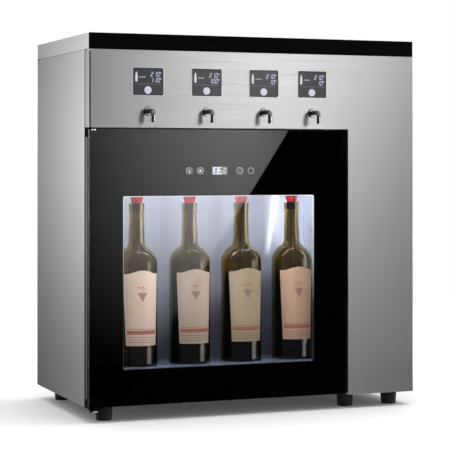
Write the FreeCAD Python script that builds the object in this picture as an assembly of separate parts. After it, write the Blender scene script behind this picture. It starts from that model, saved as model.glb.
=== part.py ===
import FreeCAD, Part
import math
import os

# Wine preservation dispenser for four bottles. +X is to the right seen from the front,
# the front faces -Y, +Z is up. The origin is under the middle of the overall box. All in mm.

Vector = FreeCAD.Vector

# Casing
SHEET = 1.2                 # casing sheet
LID_H = 28.0                # height of the lid's flanges
LID_STRIP_T = 3.0           # thickness of the black strip on the lid's front
SEAM = 2.5                  # shadow gap under the lid's side flanges and behind the end cap
RETURN_W = 14.0             # width of the folded returns and flanges
FIT = 0.3                   # gap around a piece that is set into an opening or past another
RUNNING_FIT = 0.05          # radial gap of a pin or shaft in its bush
REAR_SPACE = 70.5           # from the fan to the outside of the rear panel

# Fascia
COLUMN_W = 131.5            # width of the column at the right
END_CAP_GROOVE = 1.4        # open groove between the end cap strip and the fascia

# Feet
FOOT_H = 25.5
FOOT_TOP_D = 30.5
FOOT_BOTTOM_D = 27.0
FOOT_STUD_D = 6.0
FOOT_STUD_L = 9.0
FOOT_LEFT_INSET = 39.0      # from the left side to the left feet
FOOT_RIGHT_INSET = 29.5     # from the right side to the right feet
FOOT_MIDDLE_INSET = 119.0   # from the right side to the middle feet
FOOT_FRONT_INSET = 41.0     # from the front plane to the front feet
FOOT_REAR_INSET = 36.0      # from the rear panel to the rear feet

# Door
DOOR_SIDE_GAP = 4.5         # between the door and the fascia's column
DOOR_BASE_GAP = 2.0         # between the door's lower edge and the level of the base
DOOR_T = 22.0               # thickness without the gasket
GLASS_T = 5.0               # outer pane
BOND = 0.2                  # glue line behind the outer pane
BEZEL_T = 5.1               # black bezel behind the outer pane
DOOR_CORNER_R = 2.0
WINDOW_SIDE = 62.0          # border from the door's side edges to the window
WINDOW_BOTTOM = 61.4        # border below the window
WINDOW_R = 3.0
INNER_GLASS_T = 4.0
REBATE = 8.0                # width of the rebate that holds the inner pane
BAY_WALL = 8.0              # wall around the hollow in the frame's upper part
BAY_BACK = 3.0              # wall behind it
FRAME_SETBACK = 3.0         # the frame's opening stands back from the bezel's edge
GASKET_T = 5.7
GASKET_W = 8.0
GASKET_LEFT = 13.0          # from the door's hinge side to the gasket
GASKET_RIGHT = 2.0
GASKET_BOTTOM = 8.0
GASKET_TOP = 6.5

# Door hinge
PIVOT_X = 10.0              # from the left side of the casing
PIVOT_D = 11.0              # behind the front plane
PIN_D = 5.0
PIN_L = 10.0
HINGE_BLOCK_W = 22.0
HINGE_BLOCK_H = 14.0
BRACKET_X = 2.0             # from the left side of the casing to the brackets
BRACKET_W = 20.0
BRACKET_D = 43.0
BRACKET_FRONT = 3.0         # from the front plane
BRACKET_T = 1.5
BRACKET_LIP = 5.5           # height of the lip folded down at the lower bracket's front
BRACKET_GAP = 0.5           # between the upper bracket and the door, and above it
WASHER_D = 10.0

# Touch controls in the door
CONTROL_DROP = 72.1         # from the door's upper edge to their centre line
CONTROL_X = 240.0           # from the left side of the casing to the middle of the controls
CONTROL_W = 140.0
CONTROL_H = 28.0
CONTROL_BOARD_T = 1.6
CONTROL_PLAY = 10.7         # between the board and the lower wall of the frame's hollow
READOUT_W = 29.3
READOUT_H = 15.3

# Cold chamber
THROAT_D = 18.0             # depth of the front frame
CHAMBER_LEFT = 32.0         # from the left side of the casing to the liner's inside
CHAMBER_RIGHT = 16.5        # from the fascia's column to the liner's inside
CHAMBER_BOTTOM = 54.6       # from the base to the liner's floor
CHAMBER_TOP = 21.0          # from the fascia's lower edge down to the liner's ceiling
LINER_T = 1.5
INSULATION_BACK = 20.0      # thickness of the foam behind the liner
TRAY_T = 5.0
TRAY_RECESS = 1.0
TRAY_RECESS_PLAY = 1.5      # radial play of a bottle in its recess
LIGHT_INSET = 28.0          # from the liner's sides to the ends of the light bar
LIGHT_D = 10.0
LIGHT_H = 6.0
LIGHT_SETBACK = 4.0         # from the front frame to the light bar

# Bottles
BOTTLE_COUNT = 4
BOTTLE_D = 74.5
BOTTLE_H = 289.0
BOTTLE_WALL = 3.0
BOTTLE_BASE_R = 4.0
BOTTLE_GAP = 26.15          # between two bottles
BOTTLE_LEFT = 49.475        # from the liner's left wall to the first bottle
BOTTLE_RIGHT = 14.075       # from the last bottle to the liner's right wall
BOTTLE_FRONT = 20.75        # from the front frame to the bottles
BOTTLE_REAR = 24.75         # from the bottles to the liner's back wall
SHOULDER_H = 40.0           # from the straight side up to the neck
NECK_H = 70.0               # from the shoulder up to the mouth
NECK_D = 29.5
NECK_TOP_D = 26.0
MOUTH_D = 18.5
LIP_D = 28.0
LIP_H = 17.0
BOTTLE_EASE_R = 12.0        # hollow curve between the neck and the shoulder
LIP_STEP = 2.0              # height of the slope under the lip
PUNT_H = 18.0               # hollow under the bottle
PUNT_EDGE = 11.25           # width of the ring that the bottle stands on
PUNT_TIP_D = 14.0

# Stopper, dip tube and dispense head
STOPPER_PLUG_L = 14.0
STOPPER_H = 17.0            # height above the lip
STOPPER_TOP_D = 26.0
STOPPER_FIT = 0.1
HEAD_H = 95.0               # from the stopper up to the liner's ceiling
DIP_TUBE_D = 5.0
DIP_TUBE_WALL = 0.75
DIP_TUBE_LIFT = 26.0        # from the bottle's foot to the lower end of the tube
TUBE_HOLE_GAP = 0.3         # radial gap of a tube in sheet and foam
HEAD_BLOCK_W = 40.0
HEAD_BLOCK_FRONT = 20.0     # in front of the bottle's axis
HEAD_BLOCK_REAR = 46.0      # behind the bottle's axis
HEAD_BLOCK_H = 12.0
HEAD_STEM_D = 22.0
HEAD_CAP_D = 34.0
HEAD_CAP_H = 6.0

# Displays and buttons
DISPLAY_FIRST = -12.8       # first display from the first bottle's axis
DISPLAY_SPREAD = 7.8        # the displays' pitch is this much wider than the bottles'
DISPLAY_LAST = -14.55       # the last display from its even place
DISPLAY_W = 55.5
DISPLAY_H = 47.5
DISPLAY_R = 2.5
DISPLAY_DROP = 30.7         # from the lid's flange to the displays' upper edge
DISPLAY_SETBACK = 0.5
DISPLAY_FLANGE = 3.0
DISPLAY_BODY_D = 6.0
BUTTON_D = 13.0
BUTTON_RISE = 9.0           # from the display's lower edge to the button's axis
BUTTON_PROUD = 0.8
BUTTON_TRAVEL = 1.5
BUTTON_FLANGE = 1.5
BUTTON_FLANGE_T = 1.6
BUTTON_EDGE_R = 0.8
BOARD_T = 1.6
BOARD_MARGIN = 24.0         # board beyond the outer display axes
BOARD_INSET = 2.75          # from a display's upper or lower edge to the board's
SWITCH_W = 6.0
SWITCH_H = 2.0
STANDOFF_D = 5.0

# Spouts
SPOUT_DROP = 27.5           # from the displays' lower edge to the spouts' axis
SPOUT_RISE = 28.7           # from the fascia's lower edge to the spouts' axis
SPOUT_REACH = 29.0          # from the front plane to the axis of the outlet
SPOUT_FALL = 20.0           # from the spout's axis down to the outlet
SPOUT_D = 8.0
SPOUT_BORE = 5.5
SPOUT_BEND_R = 9.0
COLLAR_D = 14.0
COLLAR_T = 3.5
SHANK_D = 10.0
SHANK_L = 20.0
NUT_AF = 15.0
NUT_T = 5.0
NUT_GAP = 0.1               # radial gap of the nut on its shank

# Valves and lines
VALVE_W = 34.0
VALVE_FRONT = 20.0          # in front of the bottle's axis
VALVE_REAR = 20.0
VALVE_TOP = 12.0            # above the spouts' axis
COIL_D = 26.0
COIL_H = 30.0
WINE_LINE_D = 6.0
WINE_LINE_WALL = 1.0
MANIFOLD_GAP = 6.0          # between the valves and the manifold
MANIFOLD_W = 16.0
MANIFOLD_H = 18.0
MANIFOLD_OVERHANG = 20.0
GAS_LINE_D = 4.0
GAS_LINE_WALL = 0.8
GAS_BEND_R = 24.0

# Gas supply
CYLINDER_D = 60.0
GAS_RISE = 60.0             # straight line above the regulator
CYLINDER_SHOULDER = 26.0
CYLINDER_NECK_D = 20.0
CYLINDER_NECK_H = 22.0
REGULATOR_D = 34.0
REGULATOR_H = 42.0
GAUGE_D = 30.0
GAUGE_T = 10.0
GAUGE_STEM_L = 4.0          # between the regulator and its gauge
REGULATOR_OUTLET_D = 9.0
REGULATOR_OUTLET_H = 14.0

# Cooling
COLD_PLATE = 84.0           # side of the square plate
CELL = 40.0                 # side of a thermoelectric cell
CELL_T = 4.0
CELL_GAP = 2.0
SINK_W = 120.0
SINK_H = 160.0
SINK_BASE_T = 8.0
FIN_COUNT = 15
FIN_T = 1.8
FIN_H = 45.0
COOLER_RISE = 200.0         # from the liner's floor to the middle of the cooler
FAN_W = 92.0
FAN_T = 25.0
FAN_WALL = 2.0              # at the middle of the fan frame's sides
FAN_R = 6.0
FAN_HUB_D = 34.0
FAN_MOTOR_T = 5.0
FAN_STRUT_W = 5.0
FAN_TIP_GAP = 1.0
FAN_SHAFT_D = 4.0
FAN_BLADES = 7
BLADE_T = 1.6
BLADE_PITCH = 35.0          # blade angle in degrees
BLADE_FILL = 0.8            # share of the rotor's depth that a blade takes up

# Electrics
PSU_W = 150.0
PSU_D = 90.0
PSU_H = 45.0
PSU_LEFT = 46.0             # from the left side of the casing
PSU_REAR = 24.0             # from the rear panel
PCB_W = 160.0
PCB_D = 100.0
PCB_RISE = 8.0
PCB_LEFT = 250.0
PCB_REAR = 30.0
RELAY_W = 18.0
RELAY_H = 15.0
RELAY_PITCH = 26.0
CHIP_W = 24.0
CHIP_H = 4.0
PART_MARGIN = 14.0          # from the board's edges to the relays and the chip
INLET_FLANGE_W = 48.0
INLET_FLANGE_H = 30.0
INLET_FLANGE_T = 2.5
INLET_WALL = 1.8
INLET_BODY_D = 22.0
INLET_CAVITY_W = 24.6
INLET_CAVITY_H = 17.0
INLET_CAVITY_D = 17.0
INLET_PIN_W = 4.0
INLET_PIN_T = 2.0
INLET_PIN_L = 12.0
INLET_PIN_PITCH = 7.0
INLET_PIN_OFFSET = 2.0      # height of the middle pin above, and of the others below, the middle
INLET_RIGHT = 50.0          # from the right side of the casing
INLET_RISE = 55.0           # above the base

# Rear panel
VENT_W = 90.0
VENT_SLOT = 3.6
VENT_PITCH = 9.0
VENT_ROWS = 12
VENT_BRIDGE = 20.0          # between two columns of slots
SCREW_D = 3.5
SCREW_HEAD_D = 7.0
SCREW_HEAD_H = 1.8
SCREW_L = 7.0
SCREW_ROWS = 4
SCREW_END = 50.0            # from the base or the panel's top to the end screws

# Levels and planes that the pieces share
BOTTLE_PITCH = BOTTLE_D + BOTTLE_GAP
CHAMBER_W = BOTTLE_LEFT + BOTTLE_PITCH * (BOTTLE_COUNT - 1) + BOTTLE_D + BOTTLE_RIGHT
CHAMBER_D = BOTTLE_FRONT + BOTTLE_D + BOTTLE_REAR
CHAMBER_H = TRAY_T - TRAY_RECESS + BOTTLE_H + STOPPER_H + HEAD_H
FRONT_D = DOOR_T + GASKET_T + FIT       # door and fascia in front of the cabinet
FASCIA_H = DISPLAY_DROP + DISPLAY_H + SPOUT_DROP + SPOUT_RISE
COOLER_D = CELL_T + SINK_BASE_T + FIN_H + FAN_T
BODY_W = CHAMBER_LEFT + CHAMBER_W + CHAMBER_RIGHT + COLUMN_W
BODY_D = FRONT_D + THROAT_D + CHAMBER_D + LINER_T + INSULATION_BACK + COOLER_D + REAR_SPACE
BODY_H = CHAMBER_BOTTOM + CHAMBER_H + CHAMBER_TOP + FASCIA_H + LID_H
LEFT = -BODY_W / 2
RIGHT = BODY_W / 2
FRONT_PROUD = SPOUT_REACH + SPOUT_D / 2
REAR_PROUD = max(INLET_FLANGE_T, SCREW_HEAD_H)
FRONT = FRONT_PROUD - (FRONT_PROUD + BODY_D + REAR_PROUD) / 2
BACK = FRONT + BODY_D
BASE = FOOT_H
TOP = BASE + BODY_H
CABINET = FRONT + FRONT_D               # front of the cabinet behind door and fascia
LID_BASE = TOP - LID_H
FASCIA_BASE = LID_BASE - FASCIA_H
FASCIA_LEFT = LEFT + SHEET + END_CAP_GROOVE
SHELF_TOP = FASCIA_BASE + SHEET
COLUMN = RIGHT - COLUMN_W
DOOR_RIGHT = COLUMN - DOOR_SIDE_GAP
DOOR_TOP = FASCIA_BASE - BRACKET_T - 2 * BRACKET_GAP
BRACKET_BASE = DOOR_TOP + BRACKET_GAP   # underside of the upper bracket, on the front frame
DOOR_BASE = BASE + DOOR_BASE_GAP
DOOR_REAR = FRONT + DOOR_T
BEZEL_FRONT = FRONT + GLASS_T + BOND
FRAME_FRONT = BEZEL_FRONT + BEZEL_T
CONTROL_Z = DOOR_TOP - CONTROL_DROP
BAY_BASE = CONTROL_Z - CONTROL_H / 2 - CONTROL_PLAY     # hollow in the door frame's upper part
WINDOW_TOP = BAY_BASE - BAY_WALL - REBATE - FRAME_SETBACK
THROAT_REAR = CABINET + THROAT_D
LINER_LEFT = LEFT + CHAMBER_LEFT
LINER_RIGHT = COLUMN - CHAMBER_RIGHT
FLOOR = BASE + CHAMBER_BOTTOM
CEILING = FASCIA_BASE - CHAMBER_TOP
LINER_BACK = THROAT_REAR + CHAMBER_D
FOAM_BACK = LINER_BACK + LINER_T + INSULATION_BACK
BOTTLE_Y = THROAT_REAR + BOTTLE_FRONT + BOTTLE_D / 2
BOTTLE_FOOT = FLOOR + TRAY_T - TRAY_RECESS
LIP = BOTTLE_FOOT + BOTTLE_H
NECK_START = BOTTLE_H - NECK_H          # above the bottle's foot
SHOULDER_START = NECK_START - SHOULDER_H
STOPPER_TOP = LIP + STOPPER_H
DISPLAY_TOP = LID_BASE - DISPLAY_DROP
DISPLAY_BASE = DISPLAY_TOP - DISPLAY_H
BUTTON_Z = DISPLAY_BASE + BUTTON_RISE
DISPLAY_BACK = FRONT + SHEET + DISPLAY_BODY_D
SWITCH_FRONT = DISPLAY_BACK + FIT + BUTTON_FLANGE_T + BUTTON_TRAVEL + FIT
BOARD_FRONT = SWITCH_FRONT + SWITCH_H
SPOUT_Z = FASCIA_BASE + SPOUT_RISE
MANIFOLD_Y = BOTTLE_Y + VALVE_REAR + MANIFOLD_GAP + MANIFOLD_W / 2
CYLINDER_X = (COLUMN + RIGHT) / 2
MANIFOLD_Z = SHELF_TOP + MANIFOLD_H / 2
REGULATOR_TOP = MANIFOLD_Z - GAS_BEND_R - GAS_RISE
REGULATOR_FOOT = REGULATOR_TOP - REGULATOR_OUTLET_H - REGULATOR_H
COOLER_X = (LINER_LEFT + LINER_RIGHT) / 2
COOLER_Z = FLOOR + COOLER_RISE
SINK_FRONT = FOAM_BACK + CELL_T
FAN_FRONT = SINK_FRONT + SINK_BASE_T + FIN_H
FAN_REAR = FAN_FRONT + FAN_T
FAN_MOTOR_FRONT = FAN_REAR - FAN_MOTOR_T
FAN_BORE = FAN_W - 2 * FAN_WALL
INLET_BODY_W = INLET_CAVITY_W + 2 * INLET_WALL
INLET_BODY_H = INLET_CAVITY_H + 2 * INLET_WALL
INLET_X = RIGHT - INLET_RIGHT
INLET_Z = BASE + INLET_RISE

BOTTLE_X = [LINER_LEFT + BOTTLE_LEFT + BOTTLE_D / 2 + BOTTLE_PITCH * n for n in range(BOTTLE_COUNT)]
MANIFOLD_RIGHT = BOTTLE_X[-1] + MANIFOLD_OVERHANG
DISPLAY_X = [x + DISPLAY_FIRST + DISPLAY_SPREAD * n for n, x in enumerate(BOTTLE_X)]
DISPLAY_X[-1] += DISPLAY_LAST


def box(x0, x1, y0, y1, z0, z1):
    """A block between two corners, given in any order."""
    low = Vector(min(x0, x1), min(y0, y1), min(z0, z1))
    return Part.makeBox(abs(x1 - x0), abs(y1 - y0), abs(z1 - z0), low)


def centred(x, z, width, height, y0, y1):
    """A block between two depths, centred at x and z."""
    return box(x - width / 2, x + width / 2, y0, y1, z - height / 2, z + height / 2)


def cylinder(diameter, start, end):
    axis = end.sub(start)
    return Part.makeCylinder(diameter / 2, axis.Length, start, axis)


def cone(diameter_0, diameter_1, start, end):
    axis = end.sub(start)
    return Part.makeCone(diameter_0 / 2, diameter_1 / 2, axis.Length, start, axis)


def tube(diameter, bore, start, end):
    return cylinder(diameter, start, end).cut(cylinder(bore, start, end))


def rounded(x0, x1, y0, y1, z0, z1, radius):
    """A block with its four edges along Y rounded."""
    block = box(x0, x1, y0, y1, z0, z1)
    edges = [edge for edge in block.Edges if abs(edge.tangentAt(edge.FirstParameter).y) > 0.5]
    return block.makeFillet(radius, edges)


def slot(x, z, width, height, y0, y1):
    """A slot's block with round ends, centred at x and z."""
    reach = width / 2
    straight = reach - height / 2
    rise = Vector(0, 0, height / 2)
    centre = Vector(x, y0, z)
    left = centre.sub(Vector(straight, 0, 0))
    right = centre.add(Vector(straight, 0, 0))
    wire = Part.Wire([
        Part.LineSegment(left.sub(rise), right.sub(rise)).toShape(),
        Part.Arc(right.sub(rise), centre.add(Vector(reach, 0, 0)), right.add(rise)).toShape(),
        Part.LineSegment(right.add(rise), left.add(rise)).toShape(),
        Part.Arc(left.add(rise), centre.sub(Vector(reach, 0, 0)), left.sub(rise)).toShape(),
    ])
    return Part.Face(wire).extrude(Vector(0, y1 - y0, 0))


def joined(pieces):
    return pieces[0].fuse(pieces[1:]).removeSplitter()


def save(name, shape):
    solids = shape.Solids
    if len(solids) == 1:
        solids[0].exportStep(f"parts/{name}.step")
    else:
        Part.makeCompound(solids).exportStep(f"parts/{name}.step")


# Casing

def side_panel(outside, inward):
    """Side sheet with a folded rear return and a tongue that goes up inside the lid."""
    seam = LID_BASE - SEAM
    tongue = outside + inward * (SHEET + FIT)
    rear = BACK - SHEET
    lid_rear = BACK - SHEET - FIT
    sheet = box(outside, outside + inward * SHEET, CABINET, rear, BASE, seam)
    fold = box(outside, tongue + inward * SHEET, CABINET, lid_rear, seam - SHEET, seam)
    up = box(tongue, tongue + inward * SHEET, CABINET, lid_rear, seam - SHEET, TOP - SHEET)
    back = box(outside, outside + inward * RETURN_W, rear - SHEET, rear, BASE, seam - SHEET)
    panel = joined([sheet, fold, up, back])
    return panel.cut(screw_holes())


def screw_places():
    panel_top = LID_BASE - FIT
    step = (panel_top - BASE - 2 * SCREW_END) / (SCREW_ROWS - 1)
    rows = [BASE + SCREW_END + step * n for n in range(SCREW_ROWS)]
    columns = [LEFT + RETURN_W / 2, RIGHT - RETURN_W / 2]
    return [Vector(x, BACK, z) for x in columns for z in rows]


def screw_holes():
    depth = Vector(0, 2 * SHEET, 0)
    holes = [cylinder(SCREW_D + 2 * FIT, at.sub(depth), at) for at in screw_places()]
    return Part.makeCompound(holes)


def case_screws():
    screws = []
    for at in screw_places():
        head = cylinder(SCREW_HEAD_D, at, at.add(Vector(0, SCREW_HEAD_H, 0)))
        shank = cylinder(SCREW_D, at.sub(Vector(0, SCREW_L, 0)), at)
        screws.append(head.fuse(shank).removeSplitter())
    return Part.makeCompound(screws)


def rear_panel():
    panel = box(LEFT, RIGHT, BACK - SHEET, BACK, BASE, LID_BASE - FIT)
    slots = []
    for column in (-1, 0, 1):
        x = COOLER_X + column * (VENT_W + VENT_BRIDGE)
        for row in range(VENT_ROWS):
            z = COOLER_Z + (row - (VENT_ROWS - 1) / 2) * VENT_PITCH
            slots.append(slot(x, z, VENT_W, VENT_SLOT, BACK - SHEET, BACK))
    inlet = centred(INLET_X, INLET_Z, INLET_BODY_W + 2 * FIT, INLET_BODY_H + 2 * FIT, BACK - SHEET, BACK)
    return panel.cut(Part.makeCompound(slots)).cut(inlet).cut(screw_holes())


def base_pan():
    left = LEFT + SHEET
    right = RIGHT - SHEET
    rear = BACK - 2 * SHEET
    flange = BASE + RETURN_W
    pan = joined([
        box(left, right, CABINET, rear, BASE, BASE + SHEET),
        box(left, left + SHEET, CABINET, rear, BASE, flange),
        box(right - SHEET, right, CABINET, rear, BASE, flange),
        box(left, right, rear - SHEET, rear, BASE, flange),
    ])
    hole = FOOT_STUD_D + 2 * FIT
    holes = [cylinder(hole, at, at.add(Vector(0, 0, SHEET))) for at in foot_places()]
    return pan.cut(Part.makeCompound(holes))


def foot_places():
    columns = [LEFT + FOOT_LEFT_INSET, RIGHT - FOOT_MIDDLE_INSET, RIGHT - FOOT_RIGHT_INSET]
    rows = [FRONT + FOOT_FRONT_INSET, BACK - FOOT_REAR_INSET]
    return [Vector(x, y, BASE) for y in rows for x in columns]


def feet():
    group = []
    for at in foot_places():
        body = cone(FOOT_BOTTOM_D, FOOT_TOP_D, at.sub(Vector(0, 0, FOOT_H)), at)
        stud = cylinder(FOOT_STUD_D, at, at.add(Vector(0, 0, FOOT_STUD_L)))
        group.append(body.fuse(stud).removeSplitter())
    return Part.makeCompound(group)


def top_lid():
    front = FRONT + LID_STRIP_T
    outside = box(LEFT, RIGHT, front, BACK, LID_BASE, TOP)
    inside = box(LEFT + SHEET, RIGHT - SHEET, front + SHEET, BACK - SHEET, LID_BASE, TOP - SHEET)
    return outside.cut(inside)


def lid_front_strip():
    return box(LEFT, RIGHT, FRONT, FRONT + LID_STRIP_T, LID_BASE, TOP)


# Fascia

def fascia_outline(inset, y0, y1):
    """The L shape of the fascia, drawn in by an inset, as a block between two depths."""
    left = FASCIA_LEFT + inset
    right = RIGHT - inset
    top = LID_BASE - FIT - inset
    base = BASE + inset
    step_x = COLUMN + inset
    step_z = FASCIA_BASE + inset
    corners = [
        (left, top), (right, top), (right, base), (step_x, base),
        (step_x, step_z), (left, step_z), (left, top),
    ]
    wire = Part.makePolygon([Vector(x, y0, z) for x, z in corners])
    return Part.Face(wire).extrude(Vector(0, y1 - y0, 0))


def front_fascia():
    shell = fascia_outline(0, FRONT, CABINET).cut(fascia_outline(SHEET, FRONT + SHEET, CABINET))
    cuts = []
    for x in DISPLAY_X:
        half = DISPLAY_W / 2
        cuts.append(rounded(x - half, x + half, FRONT, FRONT + SHEET, DISPLAY_BASE, DISPLAY_TOP, DISPLAY_R))
        centre = Vector(x, FRONT, SPOUT_Z)
        cuts.append(cylinder(SHANK_D + 2 * FIT, centre, centre.add(Vector(0, SHEET, 0))))
    return shell.cut(Part.makeCompound(cuts))


def fascia_end_cap():
    """Steel strip beside the fascia, a seam in front of the side panel, with an inward rear flange."""
    top = LID_BASE - SEAM
    rear = CABINET - SEAM
    strip = box(LEFT, LEFT + SHEET, FRONT + SHEET / 2, rear, FASCIA_BASE, top)
    flange = box(LEFT, FASCIA_LEFT, rear - SHEET, rear, FASCIA_BASE, top)
    return joined([strip, flange])


# Cabinet structure and cold chamber

def tube_holes(z0, z1):
    """Clearance holes for the dip tubes and gas lines between two levels."""
    holes = []
    for x in BOTTLE_X:
        for y, diameter in ((BOTTLE_Y, DIP_TUBE_D), (MANIFOLD_Y, GAS_LINE_D)):
            holes.append(cylinder(diameter + 2 * TUBE_HOLE_GAP, Vector(x, y, z0), Vector(x, y, z1)))
    return Part.makeCompound(holes)


def foot_bores():
    """Clearance for the studs of the feet."""
    depth = Vector(0, 0, FOOT_STUD_L + FIT)
    bore = FOOT_STUD_D + 2 * FIT
    return Part.makeCompound([cylinder(bore, at, at.add(depth)) for at in foot_places()])


def front_frame():
    ring = box(LEFT + 2 * SHEET, COLUMN, CABINET, THROAT_REAR, BASE + SHEET, BRACKET_BASE)
    opening = box(LINER_LEFT, LINER_RIGHT, CABINET, THROAT_REAR, FLOOR, CEILING)
    return ring.cut(opening).cut(foot_bores())


def liner():
    outside = box(
        LINER_LEFT - LINER_T, LINER_RIGHT + LINER_T, THROAT_REAR, LINER_BACK + LINER_T,
        FLOOR - LINER_T, CEILING + LINER_T,
    )
    inside = box(LINER_LEFT, LINER_RIGHT, THROAT_REAR, LINER_BACK, FLOOR, CEILING)
    return outside.cut(inside).cut(tube_holes(CEILING, CEILING + LINER_T))


def insulation():
    foam = box(LEFT + 2 * SHEET, COLUMN, THROAT_REAR, FOAM_BACK, BASE + SHEET, FASCIA_BASE)
    cavity = box(
        LINER_LEFT - LINER_T, LINER_RIGHT + LINER_T, THROAT_REAR, LINER_BACK + LINER_T,
        FLOOR - LINER_T, CEILING + LINER_T,
    )
    plate_hole = cold_plate()
    foam = foam.cut(cavity).cut(plate_hole).cut(foot_bores())
    return foam.cut(tube_holes(CEILING + LINER_T, FASCIA_BASE))


def bottle_tray():
    tray = box(
        LINER_LEFT + FIT, LINER_RIGHT - FIT, THROAT_REAR + FIT, LINER_BACK - FIT, FLOOR, FLOOR + TRAY_T
    )
    recess = BOTTLE_D + 2 * TRAY_RECESS_PLAY
    depth = Vector(0, 0, TRAY_RECESS)
    places = [Vector(x, BOTTLE_Y, BOTTLE_FOOT) for x in BOTTLE_X]
    return tray.cut(Part.makeCompound([cylinder(recess, at, at.add(depth)) for at in places]))


def light_bar():
    front = THROAT_REAR + LIGHT_SETBACK
    return box(
        LINER_LEFT + LIGHT_INSET, LINER_RIGHT - LIGHT_INSET, front, front + LIGHT_D,
        CEILING - LIGHT_H, CEILING,
    )


def valve_shelf():
    left = LEFT + SHEET
    shelf = joined([
        box(left, COLUMN, CABINET, BACK - 2 * SHEET, FASCIA_BASE, SHELF_TOP),
        box(left, COLUMN, CABINET, CABINET + SHEET, FASCIA_BASE, FASCIA_BASE + RETURN_W),
        box(left, left + SHEET, CABINET, BACK - 2 * SHEET, FASCIA_BASE, FASCIA_BASE + RETURN_W),
    ])
    return shelf.cut(tube_holes(FASCIA_BASE, SHELF_TOP))


# Bottles and what goes into them

def bottle_edges(at, body, neck, foot):
    """Half section from the neck's lower end over shoulder and side to the axis at the foot."""
    drop = body - neck
    turn = 2 * math.atan(drop / SHOULDER_H)
    round_r = SHOULDER_H / math.sin(turn) - BOTTLE_EASE_R

    def on_ease(angle):
        radius = neck + BOTTLE_EASE_R * (1 - math.cos(angle))
        return at(radius, NECK_START - BOTTLE_EASE_R * math.sin(angle))

    def on_shoulder(angle):
        return at(body - round_r * (1 - math.cos(angle)), SHOULDER_START + round_r * math.sin(angle))

    edge = BOTTLE_BASE_R
    diagonal = edge * (1 - math.sqrt(0.5))
    corner = at(body - diagonal, foot + diagonal)
    return [
        Part.Arc(on_ease(0), on_ease(turn / 2), on_ease(turn)).toShape(),
        Part.Arc(on_shoulder(turn), on_shoulder(turn / 2), on_shoulder(0)).toShape(),
        Part.LineSegment(on_shoulder(0), at(body, foot + edge)).toShape(),
        Part.Arc(at(body, foot + edge), corner, at(body - edge, foot)).toShape(),
        Part.LineSegment(at(body - edge, foot), at(0, foot)).toShape(),
    ]


def bottle_form(x, mouth_points, body, neck, foot, punt_margin):
    """A revolved bottle shape: points at the mouth from the axis to the neck, then the body below."""
    def at(radius, height):
        return Vector(x + radius, BOTTLE_Y, BOTTLE_FOOT + height)

    points = [at(0, foot)] + [at(radius, height) for radius, height in mouth_points]
    points.append(at(neck, NECK_START))
    edges = [Part.LineSegment(a, b).toShape() for a, b in zip(points, points[1:])]
    edges += bottle_edges(at, body, neck, foot)
    axis = Vector(x, BOTTLE_Y, BOTTLE_FOOT)
    solid = Part.Face(Part.Wire(edges)).revolve(axis, Vector(0, 0, 1), 360)
    tip = axis.add(Vector(0, 0, PUNT_H + punt_margin))
    punt = BOTTLE_D - 2 * PUNT_EDGE
    return solid.cut(cone(punt + 2 * punt_margin, PUNT_TIP_D + 2 * punt_margin, axis, tip))


def bottle(x):
    lip = LIP_D / 2
    lip_base = BOTTLE_H - LIP_H
    outline = [(0, BOTTLE_H), (lip, BOTTLE_H), (lip, lip_base), (NECK_TOP_D / 2, lip_base - LIP_STEP)]
    outside = bottle_form(x, outline, BOTTLE_D / 2, NECK_D / 2, 0, 0)
    bore = MOUTH_D / 2
    body = BOTTLE_D / 2 - BOTTLE_WALL
    inside = bottle_form(x, [(0, BOTTLE_H), (bore, BOTTLE_H)], body, bore, BOTTLE_WALL, BOTTLE_WALL)
    return outside.cut(inside)


def stopper(x):
    plug = MOUTH_D - 2 * STOPPER_FIT
    lip = Vector(x, BOTTLE_Y, LIP)
    top = Vector(x, BOTTLE_Y, STOPPER_TOP)
    foot = Vector(x, BOTTLE_Y, LIP - STOPPER_PLUG_L)
    body = cylinder(plug, foot, lip).fuse(cone(plug, STOPPER_TOP_D, lip, top)).removeSplitter()
    return body.cut(cylinder(DIP_TUBE_D + 2 * STOPPER_FIT, foot, top))


def dispense_head(x):
    """Mounting block on the ceiling with a stem and a cap that presses on the stopper."""
    block = box(
        x - HEAD_BLOCK_W / 2, x + HEAD_BLOCK_W / 2, BOTTLE_Y - HEAD_BLOCK_FRONT, BOTTLE_Y + HEAD_BLOCK_REAR,
        CEILING - HEAD_BLOCK_H, CEILING,
    )
    top = Vector(x, BOTTLE_Y, CEILING)
    foot = Vector(x, BOTTLE_Y, STOPPER_TOP)
    stem = cylinder(HEAD_STEM_D, foot, top)
    cap = cylinder(HEAD_CAP_D, foot, foot.add(Vector(0, 0, HEAD_CAP_H)))
    return joined([block, stem, cap]).cut(cylinder(DIP_TUBE_D + 2 * STOPPER_FIT, foot, top))


def dip_tube(x):
    bore = DIP_TUBE_D - 2 * DIP_TUBE_WALL
    foot = Vector(x, BOTTLE_Y, BOTTLE_FOOT + DIP_TUBE_LIFT)
    return tube(DIP_TUBE_D, bore, foot, Vector(x, BOTTLE_Y, SHELF_TOP))


# Dispensing

def spout_path(diameter, x):
    """A round bar along the spout: level through the fascia, a bend, then down to the outlet."""
    radius = SPOUT_BEND_R
    rear = Vector(x, FRONT + SHANK_L, SPOUT_Z)
    bend = Vector(x, FRONT - SPOUT_REACH + radius, SPOUT_Z)
    end = Vector(x, FRONT - SPOUT_REACH, SPOUT_Z - radius)
    outlet = Vector(x, FRONT - SPOUT_REACH, SPOUT_Z - SPOUT_FALL)
    centre = Vector(x, FRONT - SPOUT_REACH + radius, SPOUT_Z - radius)
    section = Part.Face(Part.Wire(Part.makeCircle(diameter / 2, bend, Vector(0, 1, 0))))
    elbow = section.revolve(centre, Vector(1, 0, 0), 90)
    return joined([cylinder(diameter, rear, bend), elbow, cylinder(diameter, end, outlet)])


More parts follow.
